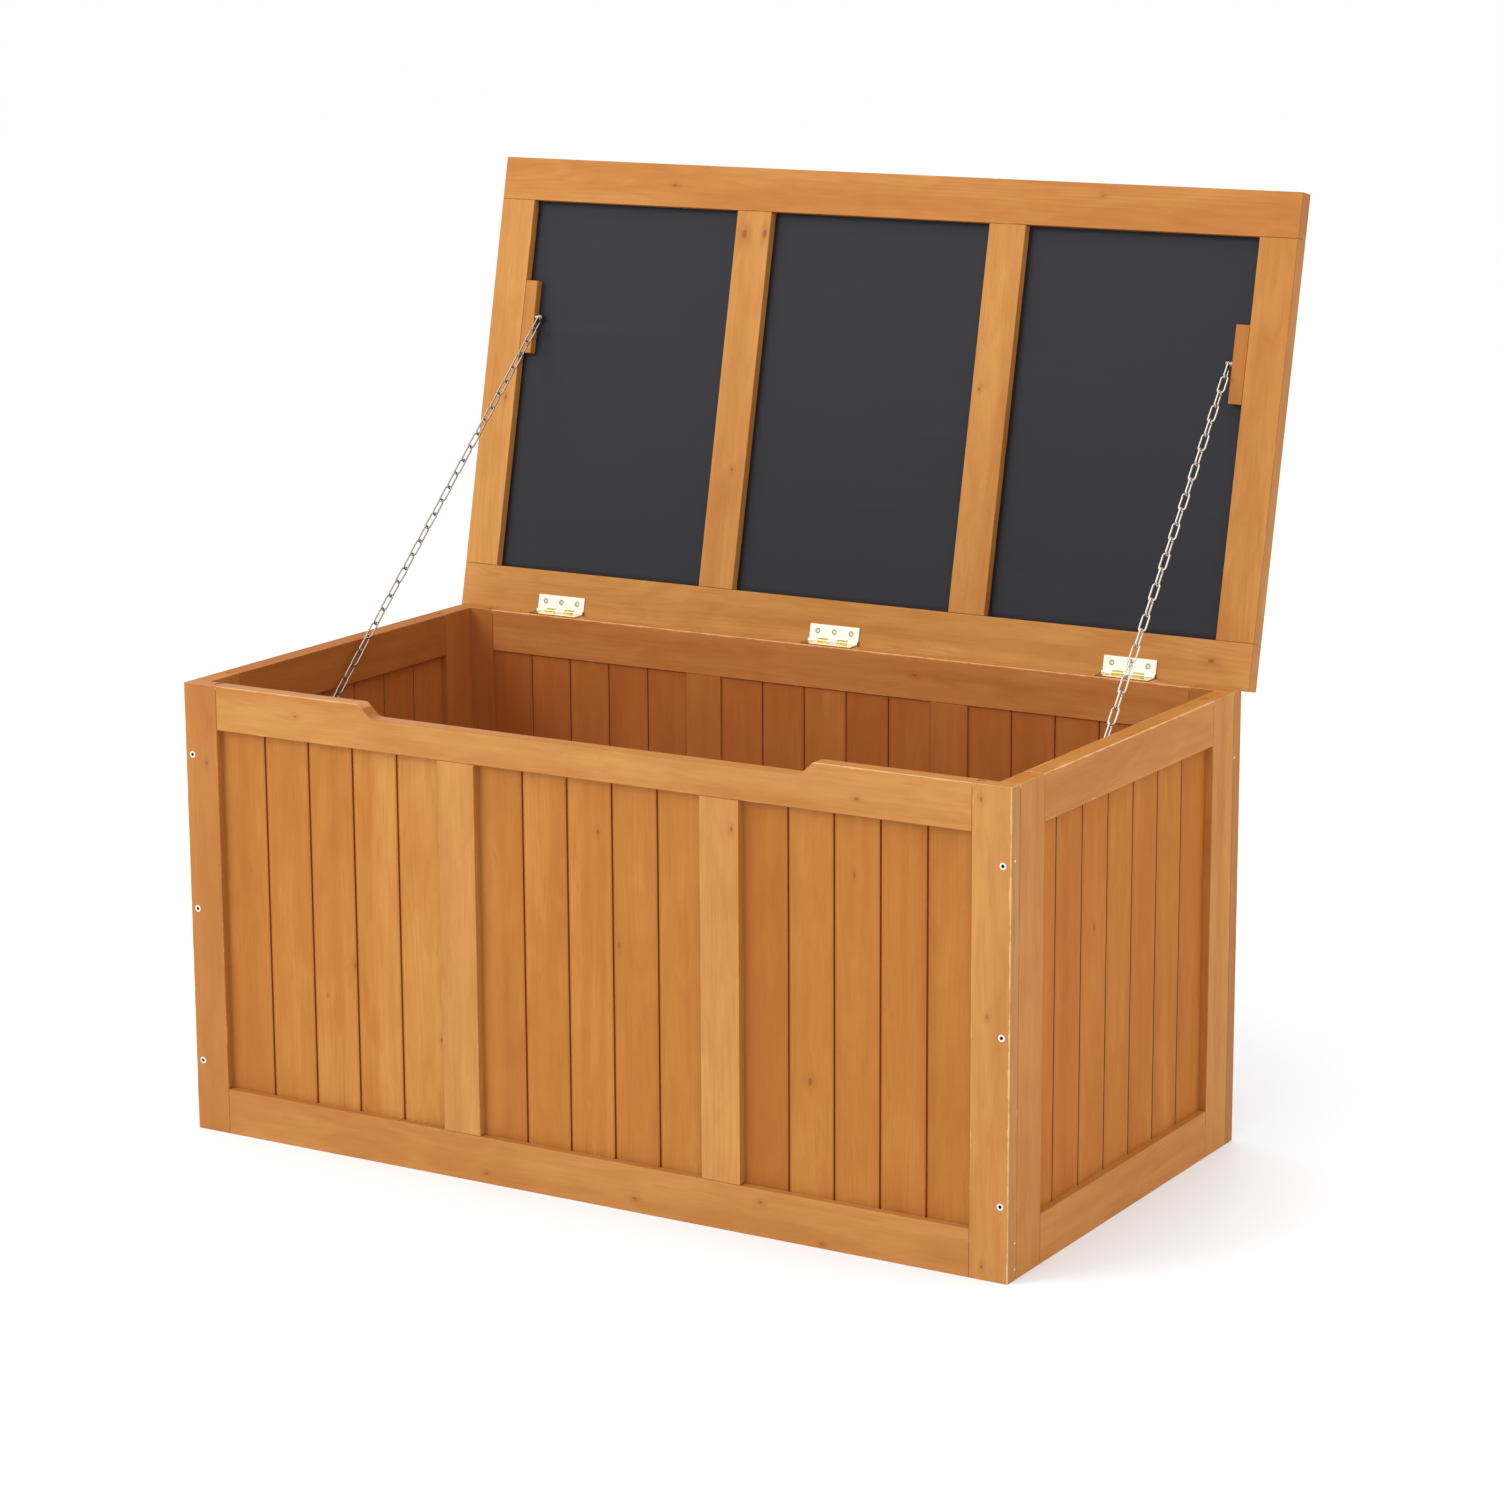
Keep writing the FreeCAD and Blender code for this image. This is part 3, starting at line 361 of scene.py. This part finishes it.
    def darken_end_grain(self, colour):
        return self.mix(self.ramp(self.facing[2], 0.80, 0.97, 0.0, 0.35), colour, HONEY_RED)

    def streak_narrow_faces(self, colour):
        narrow = self.ramp(self.facing[0], 0.90, 0.98, 0.0, 0.34)
        streaked = self.math("MULTIPLY", narrow, self.ramp(self.streaks, 0.38, 0.62, 0.3, 1.0))
        return self.mix(streaked, colour, SMUDGE_AND_SHADE)

    def stain_and_shade_joints(self, colour):
        """Stain pools beside the joints between boards; painted shade darkens the joints' depths.
        """
        in_board = self.math("FRACT", self.along_row)
        board_edge = self.math("MULTIPLY", near_side(self, in_board, 0.0, 1.0), self.pitch)
        colour = self.mix(self.ramp(board_edge, 5.0 * MM, 1.2 * MM, 0.0, 0.30), colour, SMUDGE_AND_SHADE)
        # painted shade: in the joints, more than 0.5 mm behind either face, the wood goes dark
        depth = near_side(self, self.through, self.low[1], self.high[1])
        groove_shade = JOINT_PAINTED_DEEP_SHADE if "side" in self.node else JOINT_PAINTED_SHADE
        return self.mix(self.ramp(depth, 0.5 * MM, 1.0 * MM), colour, groove_shade)

    def paint_inside_shade(self, colour, painted_inside_shade):
        """Painted shade and bounce light: darken and redden the faces that look into the box."""
        wall = self.node.split("_")[0]
        inwards = self.vector("DOT_PRODUCT", self.normal, INWARDS[wall])
        strength = self.ramp(inwards, 0.1, 0.5, 0.0, painted_inside_shade)
        return self.mix(strength, colour, INSIDE_SHADE_AND_BOUNCE_TINT, "MULTIPLY")

    def surface(self, colour, rubbed_and_highlit, gloss):
        self.link(colour, self.shader.inputs["Base Color"])
        rough = self.math("MULTIPLY_ADD", self.streaks, 0.18, 0.42)
        self.link(self.math("MULTIPLY_ADD", rubbed_and_highlit, 0.12, rough), self.shader.inputs["Roughness"])
        self.shader.inputs["Specular IOR Level"].default_value = gloss
        relief = self.math("MULTIPLY_ADD", self.late_wood, 0.35, self.fibres)
        self.link(self.bump(relief, 0.20, 0.0004), self.shader.inputs["Normal"])


def wood(node, grain, seed, tone=0.5, tones=None, knots=(), painted_inside_shade=0.0, wear_and_highlight=0.5, gloss=0.20):
    """Wood for one node: a frame piece with one tone, or a row of boards with one tone each.

    A tone runs from reddish (0) to pale golden (1).  knots are (x, y, z, radius) in the object's
    frame.  painted_inside_shade, from 0 to 1, is the strength of the painted shade and bounce
    light that darken and redden faces that look into the box.  wear_and_highlight, from 0 to 1,
    is how far a frame piece's arrises are rubbed and how strong their painted highlight is.  gloss
    is the shader's specular level.
    """
    t = Wood(node, grain, seed)
    if tones:
        tone = t.lay_boards(tones)
    t.grow()
    colour = t.add_knots(t.stain(tone), knots)
    if tones:
        rubbed_and_highlit = t.painted_bevel_highlight()
    else:
        handled = t.handled_arrises()
        rubbed_and_highlit = t.worn_and_highlit_frame(wear_and_highlight, handled)
        # painted shade in the rounded arrises that hands don't rub
        colour = t.shade_unhandled_arrises(colour, handled)
    # rubbed wood on handled arrises; painted highlight on the other arrises and on the boards'
    # bevels
    colour = t.darken_end_grain(t.mix(rubbed_and_highlit, colour, BARE_EDGE_AND_HIGHLIGHT))
    colour = t.stain_and_shade_joints(colour) if tones else t.streak_narrow_faces(colour)
    # painted light: a warmer tint on the right side alone
    if node.startswith("right_side"):
        painted_side_light = RIGHT_BOARDS_PAINTED_LIGHT if tones else RIGHT_FRAME_PAINTED_LIGHT
        colour = t.mix(1.0, colour, painted_side_light, "MULTIPLY")
    # painted shade and bounce light on the faces that look into the box
    if painted_inside_shade:
        colour = t.paint_inside_shade(colour, painted_inside_shade)
    t.surface(colour, rubbed_and_highlit, gloss)
    return t.material


# ------------------------------------------------------------------ other materials
def metal(name, colour, roughness, spots=0.0, spot_colour=(0.3, 0.2, 0.08), rings=False):
    """Plated metal.  rings draws the dark line round each hinge screw's head."""
    t = Tree(name)
    position = t.add("ShaderNodeTexCoord").outputs["Object"]
    fine = t.noise(position, 900.0, 3.0, 0.6)
    broad = t.noise(position, 90.0, 3.0, 0.6)
    finish = t.mix(t.ramp(broad, 0.30, 0.75, 0.0, 0.30), colour, tuple(c * 0.70 for c in colour))
    if spots:
        finish = t.mix(t.ramp(fine, 0.62, 0.78, 0.0, spots), finish, spot_colour)
    if rings:
        away = screw_distance(t, position)
        ring = t.math("MULTIPLY", t.ramp(away, 1.5 * MM, 2.0 * MM),
                      t.ramp(away, 3.5 * MM, 3.0 * MM))
        finish = t.mix(t.math("MULTIPLY", ring, 0.80), finish, (0.20, 0.18, 0.12))
    t.link(finish, t.shader.inputs["Base Color"])
    t.link(t.math("MULTIPLY_ADD", fine, 0.16, roughness - 0.06), t.shader.inputs["Roughness"])
    t.shader.inputs["Metallic"].default_value = 1.0
    t.link(t.bump(fine, 0.12, 0.0001), t.shader.inputs["Normal"])
    return t.material


def screw_distance(t, position):
    """Distance from the nearest hinge screw's axis, measured over the leaves."""
    hinge_spacing = 366 * MM
    screw_spacing = 21.5 * MM
    row = 11.03 * MM                # from the pin's axis to the row of screws on either leaf
    x, y, z = t.split(position)
    in_hinge = t.math("SUBTRACT", x, t.math("SNAP", t.math("ADD", x, hinge_spacing / 2),
                                            hinge_spacing))
    nearest = t.math("SNAP", t.math("ADD", in_hinge, screw_spacing / 2), screw_spacing)
    off_x = t.math("SUBTRACT", in_hinge, nearest)
    from_pin = t.hypotenuse(t.math("SUBTRACT", y, PIN.y), t.math("SUBTRACT", z, PIN.z))
    return t.hypotenuse(off_x, t.math("SUBTRACT", from_pin, row))


def socket_screw(name, colour):
    """Bright head with a dark socket: anything below the head's face is in shadow."""
    t = Tree(name)
    position = t.add("ShaderNodeTexCoord").outputs["Object"]
    depth = near_side(t, t.split(position)[1], FRONT_Y, BACK_Y)
    head_face, in_socket = 0.25 * MM, 0.6 * MM
    grime = t.noise(position, 700.0, 3.0, 0.6)
    finish = t.mix(t.ramp(grime, 0.40, 0.75, 0.0, 0.35), colour, tuple(c * 0.6 for c in colour))
    finish = t.mix(t.ramp(depth, head_face, in_socket), finish, (0.035, 0.033, 0.030))
    t.link(finish, t.shader.inputs["Base Color"])
    t.link(t.math("MULTIPLY_ADD", grime, 0.20, 0.24), t.shader.inputs["Roughness"])
    t.link(t.ramp(depth, head_face, in_socket, 1.0, 0.2), t.shader.inputs["Metallic"])
    t.link(t.bump(grime, 0.15, 0.0001), t.shader.inputs["Normal"])
    return t.material


def blackboard(name, sheets):
    """Chalk-dusted board, with painted shade that blackens the sheets' margins next to the frame.
    """
    t = Tree(name)
    position = t.add("ShaderNodeTexCoord").outputs["Object"]
    x, _, up_lid = t.split(t.lean(position))
    painted_margin_shade = near_side(t, up_lid, sheets[0][0], sheets[0][1])
    between = 1.0
    for left, right in sheets[1:]:
        from_side = t.math("ABSOLUTE", near_side(t, x, left, right))
        between = t.math("MINIMUM", between, from_side)
    painted_margin_shade = t.math("MINIMUM", painted_margin_shade, between)
    cloud = t.noise(position, 6.5, 3.0, 0.5)
    wiped = t.stretched_noise(position, (4.0, 4.0, 26.0), 3.0, 0.55, 0.8)
    tooth = t.noise(position, 1500.0, 2.0, 0.6)
    dust = t.math("ADD", t.ramp(cloud, 0.35, 0.80, 0.0, 0.45), t.ramp(wiped, 0.45, 0.8, 0.0, 0.3))
    colour = t.mix(dust, (0.0165, 0.0165, 0.0215), (0.0220, 0.0222, 0.0275))
    # painted shade: the sheets go blacker within 7 mm of the frame
    colour = t.mix(t.ramp(painted_margin_shade, 7.0 * MM, 1.0 * MM, 0.0, 0.75), colour, (0.006, 0.005, 0.006))
    t.link(colour, t.shader.inputs["Base Color"])
    t.link(t.math("MULTIPLY_ADD", cloud, 0.14, 0.52), t.shader.inputs["Roughness"])
    t.shader.inputs["Specular IOR Level"].default_value = 0.22
    t.link(t.bump(tooth, 0.18, 0.00015), t.shader.inputs["Normal"])
    return t.material


def plywood(name):
    """Pale plywood with a figure along x and its plies on the edges."""
    t = Tree(name)
    position = t.add("ShaderNodeTexCoord").outputs["Object"]
    figure = t.stretched_noise(position, (2.0, 30.0, 30.0), 4.0, 0.6, 1.2)
    fibres = t.stretched_noise(position, (14.0, 500.0, 500.0), 3.0, 0.6)
    colour = t.mix(t.ramp(figure, 0.3, 0.75), (0.44, 0.215, 0.072), (0.56, 0.305, 0.115))
    colour = t.mix(t.ramp(fibres, 0.5, 0.8, 0.0, 0.25), colour, (0.22, 0.09, 0.025))
    plies = t.math("FRACT", t.math("MULTIPLY", t.split(position)[2], 420.0))
    colour = t.mix(t.ramp(plies, 0.45, 0.55, 0.0, 0.12), colour, (0.20, 0.09, 0.03))
    t.link(colour, t.shader.inputs["Base Color"])
    t.link(t.math("MULTIPLY_ADD", figure, 0.15, 0.5), t.shader.inputs["Roughness"])
    t.link(t.bump(fibres, 0.2, 0.0003), t.shader.inputs["Normal"])
    return t.material


def give(node, material):
    """Assign a material to every slot of a CAD node."""
    mesh = NODES[node].data
    if not mesh.materials:
        mesh.materials.append(material)
    for i in range(len(mesh.materials)):
        mesh.materials[i] = material


def blackboard_openings():
    """Visible limits of the three sheets: up the lid first, then left and right of each."""
    upright = GRAIN["lid_upright"]
    bottom = extent("lid_rear_rail", upright)[1][2]
    top = extent("lid_front_rail", upright)[0][2]
    names = ("lid_left_stile", "lid_left_mullion", "lid_right_mullion", "lid_right_stile")
    sides = [extent(name, upright) for name in names]
    pairs = [(sides[i][1][0], sides[i + 1][0][0]) for i in range(3)]
    return [(bottom, top)] + pairs


# ------------------------------------------------------------------ finishes of the box
def on_front(x, z, size, recess=0.0):
    """A knot on the front wall; x runs from the box's left edge."""
    return (x - RIGHT_X, FRONT_Y + recess, z, size * MM)


# node: (grain, tones of its boards, strength of the painted shade and bounce light inside)
BOARD_ROWS = {
    "front_left_boards": ("upright_front", (0.22, 0.55, 0.55, 0.70, 0.70), 0.0),
    "front_middle_boards": ("upright_front", (0.24, 0.55, 0.58, 0.46, 0.50), 0.0),
    "front_right_boards": ("upright_front", (0.04, 0.44, 0.42, 0.34, 0.24), 0.0),
    "back_left_boards": ("upright_front", (0.10, 0.18, 0.34, 0.22, 0.16), 0.45),
    "back_middle_boards": ("upright_front", (0.30, 0.15, 0.34, 0.22, 0.30), 0.45),
    "back_right_boards": ("upright_front", (0.22, 0.12, 0.28, 0.36, 0.20), 0.45),
    "left_side_boards": ("upright_side", (0.40, 0.50, 0.25, 0.50, 0.40, 0.25, 0.45), 0.40),
    "right_side_boards": ("upright_side", (0.40, 0.32, 0.44, 0.50, 0.36, 0.46, 0.34), 0.0),
    "lid_boards": ("lid_upright", (0.50, 0.40, 0.60, 0.45, 0.55, 0.30, 0.50, 0.60, 0.40, 0.50,
                                   0.35, 0.55, 0.45, 0.60, 0.40), 0.0),
}
# node: (grain, tone, strength of the painted shade and bounce light inside, wear and arris
# highlight)
FRAME_PIECES = {
    "front_left_stile": ("upright_front", 0.36, 0.0, 0.6),
    "front_right_stile": ("upright_front", 0.80, 0.0, 1.0),
    "front_top_rail": ("along_x", 0.74, 0.0, 0.6),
    "front_bottom_rail": ("along_x", 0.63, 0.0, 0.3),
    "front_left_mullion": ("upright_front", 0.76, 0.0, 0.4),
    "front_right_mullion": ("upright_front", 0.82, 0.0, 0.4),
    "back_left_stile": ("upright_front", 0.30, 0.35, 0.5),
    "back_right_stile": ("upright_front", 0.60, 0.0, 0.7),
    "back_top_rail": ("along_x", 0.80, 0.40, 1.0),
    "back_bottom_rail": ("along_x", 0.35, 0.2, 0.3),
    "back_left_mullion": ("upright_front", 0.35, 0.40, 0.3),
    "back_right_mullion": ("upright_front", 0.35, 0.40, 0.3),
    "left_side_front_stile": ("upright_side", 0.50, 0.25, 0.5),
    "left_side_rear_stile": ("upright_side", 0.40, 0.30, 0.4),
    "left_side_top_rail": ("along_y", 0.0, 0.20, 0.0),
    "left_side_bottom_rail": ("along_y", 0.45, 0.25, 0.3),
    "right_side_front_stile": ("upright_side", 0.58, 0.0, 0.5),
    "right_side_rear_stile": ("upright_side", 0.76, 0.0, 0.5),
    "right_side_top_rail": ("along_y", 0.70, 0.0, 0.9),
    "right_side_bottom_rail": ("along_y", 0.78, 0.0, 0.4),
    "left_side_chain_block": ("upright_side", 0.40, 0.0, 0.4),
    "right_side_chain_block": ("upright_side", 0.40, 0.0, 0.4),
    "floor_cleats": ("along_x", 0.40, 0.0, 0.2),
    "lid_front_rail": ("lid_along_x", 0.58, 0.0, 0.5),
    "lid_rear_rail": ("lid_along_x", 0.84, 0.0, 0.4),
    "lid_left_stile": ("lid_upright", 0.95, 0.0, 0.6),
    "lid_right_stile": ("lid_upright", 0.72, 0.0, 0.6),
    "lid_left_mullion": ("lid_upright", 0.86, 0.0, 0.5),
    "lid_right_mullion": ("lid_upright", 0.84, 0.0, 0.5),
    "lid_left_chain_block": ("lid_upright", 0.50, 0.0, 0.5),
    "lid_right_chain_block": ("lid_upright", 0.45, 0.0, 0.5),
}
BOARD_GLOSS = 0.06
SIDE_BOARD_GLOSS = 0.02
FRAME_GLOSS = {"front": 0.20, "left": 0.03}
OTHER_FRAME_GLOSS = 0.12

# the larger knots of the photograph
KNOTS = {
    "front_top_rail": (on_front(0.148, 0.478, 1.9), on_front(0.830, 0.469, 1.8)),
    "front_left_stile": (on_front(0.028, 0.414, 1.6),),
    "front_bottom_rail": (on_front(0.383, 0.011, 1.8), on_front(0.568, 0.015, 1.6),
                          on_front(0.719, 0.037, 1.6), on_front(0.790, 0.005, 1.8)),
    "front_right_stile": (on_front(0.975, 0.269, 1.7), on_front(0.967, 0.485, 1.5),
                          on_front(0.971, 0.014, 2.0)),
    "front_right_mullion": (on_front(0.687, 0.421, 2.0),),
    "front_left_boards": (on_front(0.213, 0.212, 2.2, BOARD_RECESS),
                          on_front(0.323, 0.146, 2.2, BOARD_RECESS)),
    "front_middle_boards": (on_front(0.523, 0.397, 1.8, BOARD_RECESS),
                            on_front(0.547, 0.280, 2.4, BOARD_RECESS)),
    "front_right_boards": (on_front(0.823, 0.389, 1.8, BOARD_RECESS),
                           on_front(0.772, 0.170, 3.0, BOARD_RECESS)),
    "right_side_boards": ((RIGHT_X - BOARD_RECESS, -0.132, 0.314, 1.8 * MM),),
    "back_top_rail": ((0.115, 0.177, 0.479, 2.2 * MM),),
    "lid_front_rail": ((-0.271, 0.307, 0.991, 1.8 * MM), (0.273, 0.309, 1.001, 1.8 * MM)),
    "lid_left_mullion": ((-0.172, 0.296, 0.940, 4.0 * MM), (-0.145, 0.296, 0.942, 3.4 * MM),
                         (-0.156, 0.239, 0.679, 1.8 * MM)),
    "lid_left_stile": ((-0.474, 0.252, 0.740, 1.8 * MM),),
    "lid_right_mullion": ((0.148, 0.263, 0.788, 1.8 * MM),),
    "lid_rear_rail": ((-0.152, 0.198, 0.493, 2.2 * MM), (0.460, 0.205, 0.525, 3.0 * MM)),
}
for seed, (piece, (grain, tones, painted_inside_shade)) in enumerate(BOARD_ROWS.items(), start=1):
    gloss = SIDE_BOARD_GLOSS if "side" in piece else BOARD_GLOSS
    give(piece, wood(piece, grain, seed, tones=tones, knots=KNOTS.get(piece, ()), painted_inside_shade=painted_inside_shade,
                     gloss=gloss))
for seed, (piece, (grain, tone, painted_inside_shade, wear_and_highlight)) in enumerate(FRAME_PIECES.items(), start=20):
    gloss = FRAME_GLOSS.get(piece.split("_")[0], OTHER_FRAME_GLOSS)
    give(piece, wood(piece, grain, seed, tone, knots=KNOTS.get(piece, ()), painted_inside_shade=painted_inside_shade,
                     wear_and_highlight=wear_and_highlight, gloss=gloss))

brass = metal("brass", (0.56, 0.42, 0.16), 0.26, 0.45, (0.30, 0.18, 0.05), rings=True)
# painted light: the lid's leaves, which face the light, get a paler copy of the brass
brass_painted_light = metal("brass_painted_light", (0.78, 0.76, 0.64), 0.34, 0.12, (0.6, 0.45, 0.2), rings=True)
nickel = metal("nickel", (0.60, 0.56, 0.50), 0.18)
shaded_nickel = metal("shaded_nickel", (0.40, 0.355, 0.305), 0.20)
dull_nickel = metal("dull_nickel", (0.30, 0.28, 0.23), 0.28)
METALS = {
    "hinge_pins": brass, "hinge_box_leaves": brass, "hinge_box_screws": brass,
    "hinge_lid_leaves": brass_painted_light, "hinge_lid_screws": brass_painted_light,
    "wall_screws": socket_screw("wall_screws", (0.74, 0.73, 0.68)),
    "frame_brads": metal("zinc", (0.84, 0.84, 0.83), 0.30),
}
for name in NODES:
    if name in METALS:
        give(name, METALS[name])
    elif "chain" in name and "block" not in name:
        links = shaded_nickel if name.startswith("left") else nickel
        give(name, dull_nickel if "screw" in name else links)
give("lid_blackboards", blackboard("blackboard", blackboard_openings()))
give("floor_panel", plywood("plywood"))


# ------------------------------------------------------------------ studio
FLOOR_HALF_WIDTH = 60.0
FLOOR_WHITE = (0.90, 0.90, 0.90)
# painted light: near the box the floor is paler and cooler, lifting its shadow and cancelling the
# warm light off the wood
FLOOR_PAINTED_LIGHT = (0.910, 0.958, 0.992)     # near the box, against the warm light off the wood


def studio_floor():
    t = Tree("floor")
    position = t.add("ShaderNodeTexCoord").outputs["Object"]
    from_box = t.vector("LENGTH", t.vector("MULTIPLY", position, (1.0, 1.0, 0.0)))
    # painted light: the paler, cooler floor near the box
    t.link(t.mix(t.ramp(from_box, 0.6, 2.2), FLOOR_PAINTED_LIGHT, FLOOR_WHITE),
           t.shader.inputs["Base Color"])
    t.link(t.ramp(t.noise(position, 3.0), 0.0, 1.0, 0.55, 0.65), t.shader.inputs["Roughness"])
    t.shader.inputs["Specular IOR Level"].default_value = 0.2
    mesh = bpy.data.meshes.new("floor")
    half = FLOOR_HALF_WIDTH
    mesh.from_pydata([(-half, -half, 0), (half, -half, 0), (half, half, 0), (-half, half, 0)], [],
                     [(0, 1, 2, 3)])
    mesh.materials.append(t.material)
    plane = bpy.data.objects.new("floor", mesh)
    bpy.context.scene.collection.objects.link(plane)


def area_light(name, place, target, size, power):
    light = bpy.data.lights.new(name, "AREA")
    light.shape = "RECTANGLE"
    light.size, light.size_y = size
    light.energy = power
    lamp = bpy.data.objects.new(name, light)
    bpy.context.scene.collection.objects.link(lamp)
    lamp.location = place
    lamp.rotation_euler = (Vector(target) - Vector(place)).to_track_quat("-Z", "Y").to_euler()


studio_floor()
area_light("key", place=(-2.4, -2.9, 2.9), target=(0.0, 0.0, 0.45), size=(2.4, 1.8), power=68.0)
area_light("overhead", place=(0.3, -0.5, 4.2), target=(0.0, 0.0, 0.3), size=(3.0, 3.0), power=40.0)

world = bpy.data.worlds.new("studio")
world.use_nodes = True
background = world.node_tree.nodes["Background"]
background.inputs["Color"].default_value = (1.0, 1.0, 1.0, 1.0)
background.inputs["Strength"].default_value = 1.10
bpy.context.scene.world = world
bpy.context.scene.view_settings.view_transform = "Standard"

# ------------------------------------------------------------------ camera
SENSOR_WIDTH_MM = 36.0
FOCAL_LENGTH_MM = 99.6144
CAMERA_PLACE = (2.2684, FRONT_Y - 3.4275, 1.4025)
YAW, PITCH, ROLL = (math.radians(a) for a in (-30.9986, -12.6599, -0.2766))

camera_data = bpy.data.cameras.new("camera")
camera_data.sensor_width = SENSOR_WIDTH_MM
camera_data.lens = FOCAL_LENGTH_MM
camera_data.clip_end = 200.0
camera = bpy.data.objects.new("camera", camera_data)
bpy.context.scene.collection.objects.link(camera)
camera.location = CAMERA_PLACE
forward = Vector((math.sin(YAW) * math.cos(PITCH), math.cos(YAW) * math.cos(PITCH),
                  math.sin(PITCH)))
right = Vector((math.cos(YAW), -math.sin(YAW), 0.0))
up = right.cross(forward)
rolled_right = right * math.cos(ROLL) + up * math.sin(ROLL)
rolled_up = up * math.cos(ROLL) - right * math.sin(ROLL)
camera.rotation_euler = Matrix((rolled_right, rolled_up, -forward)).transposed().to_euler()
bpy.context.scene.camera = camera
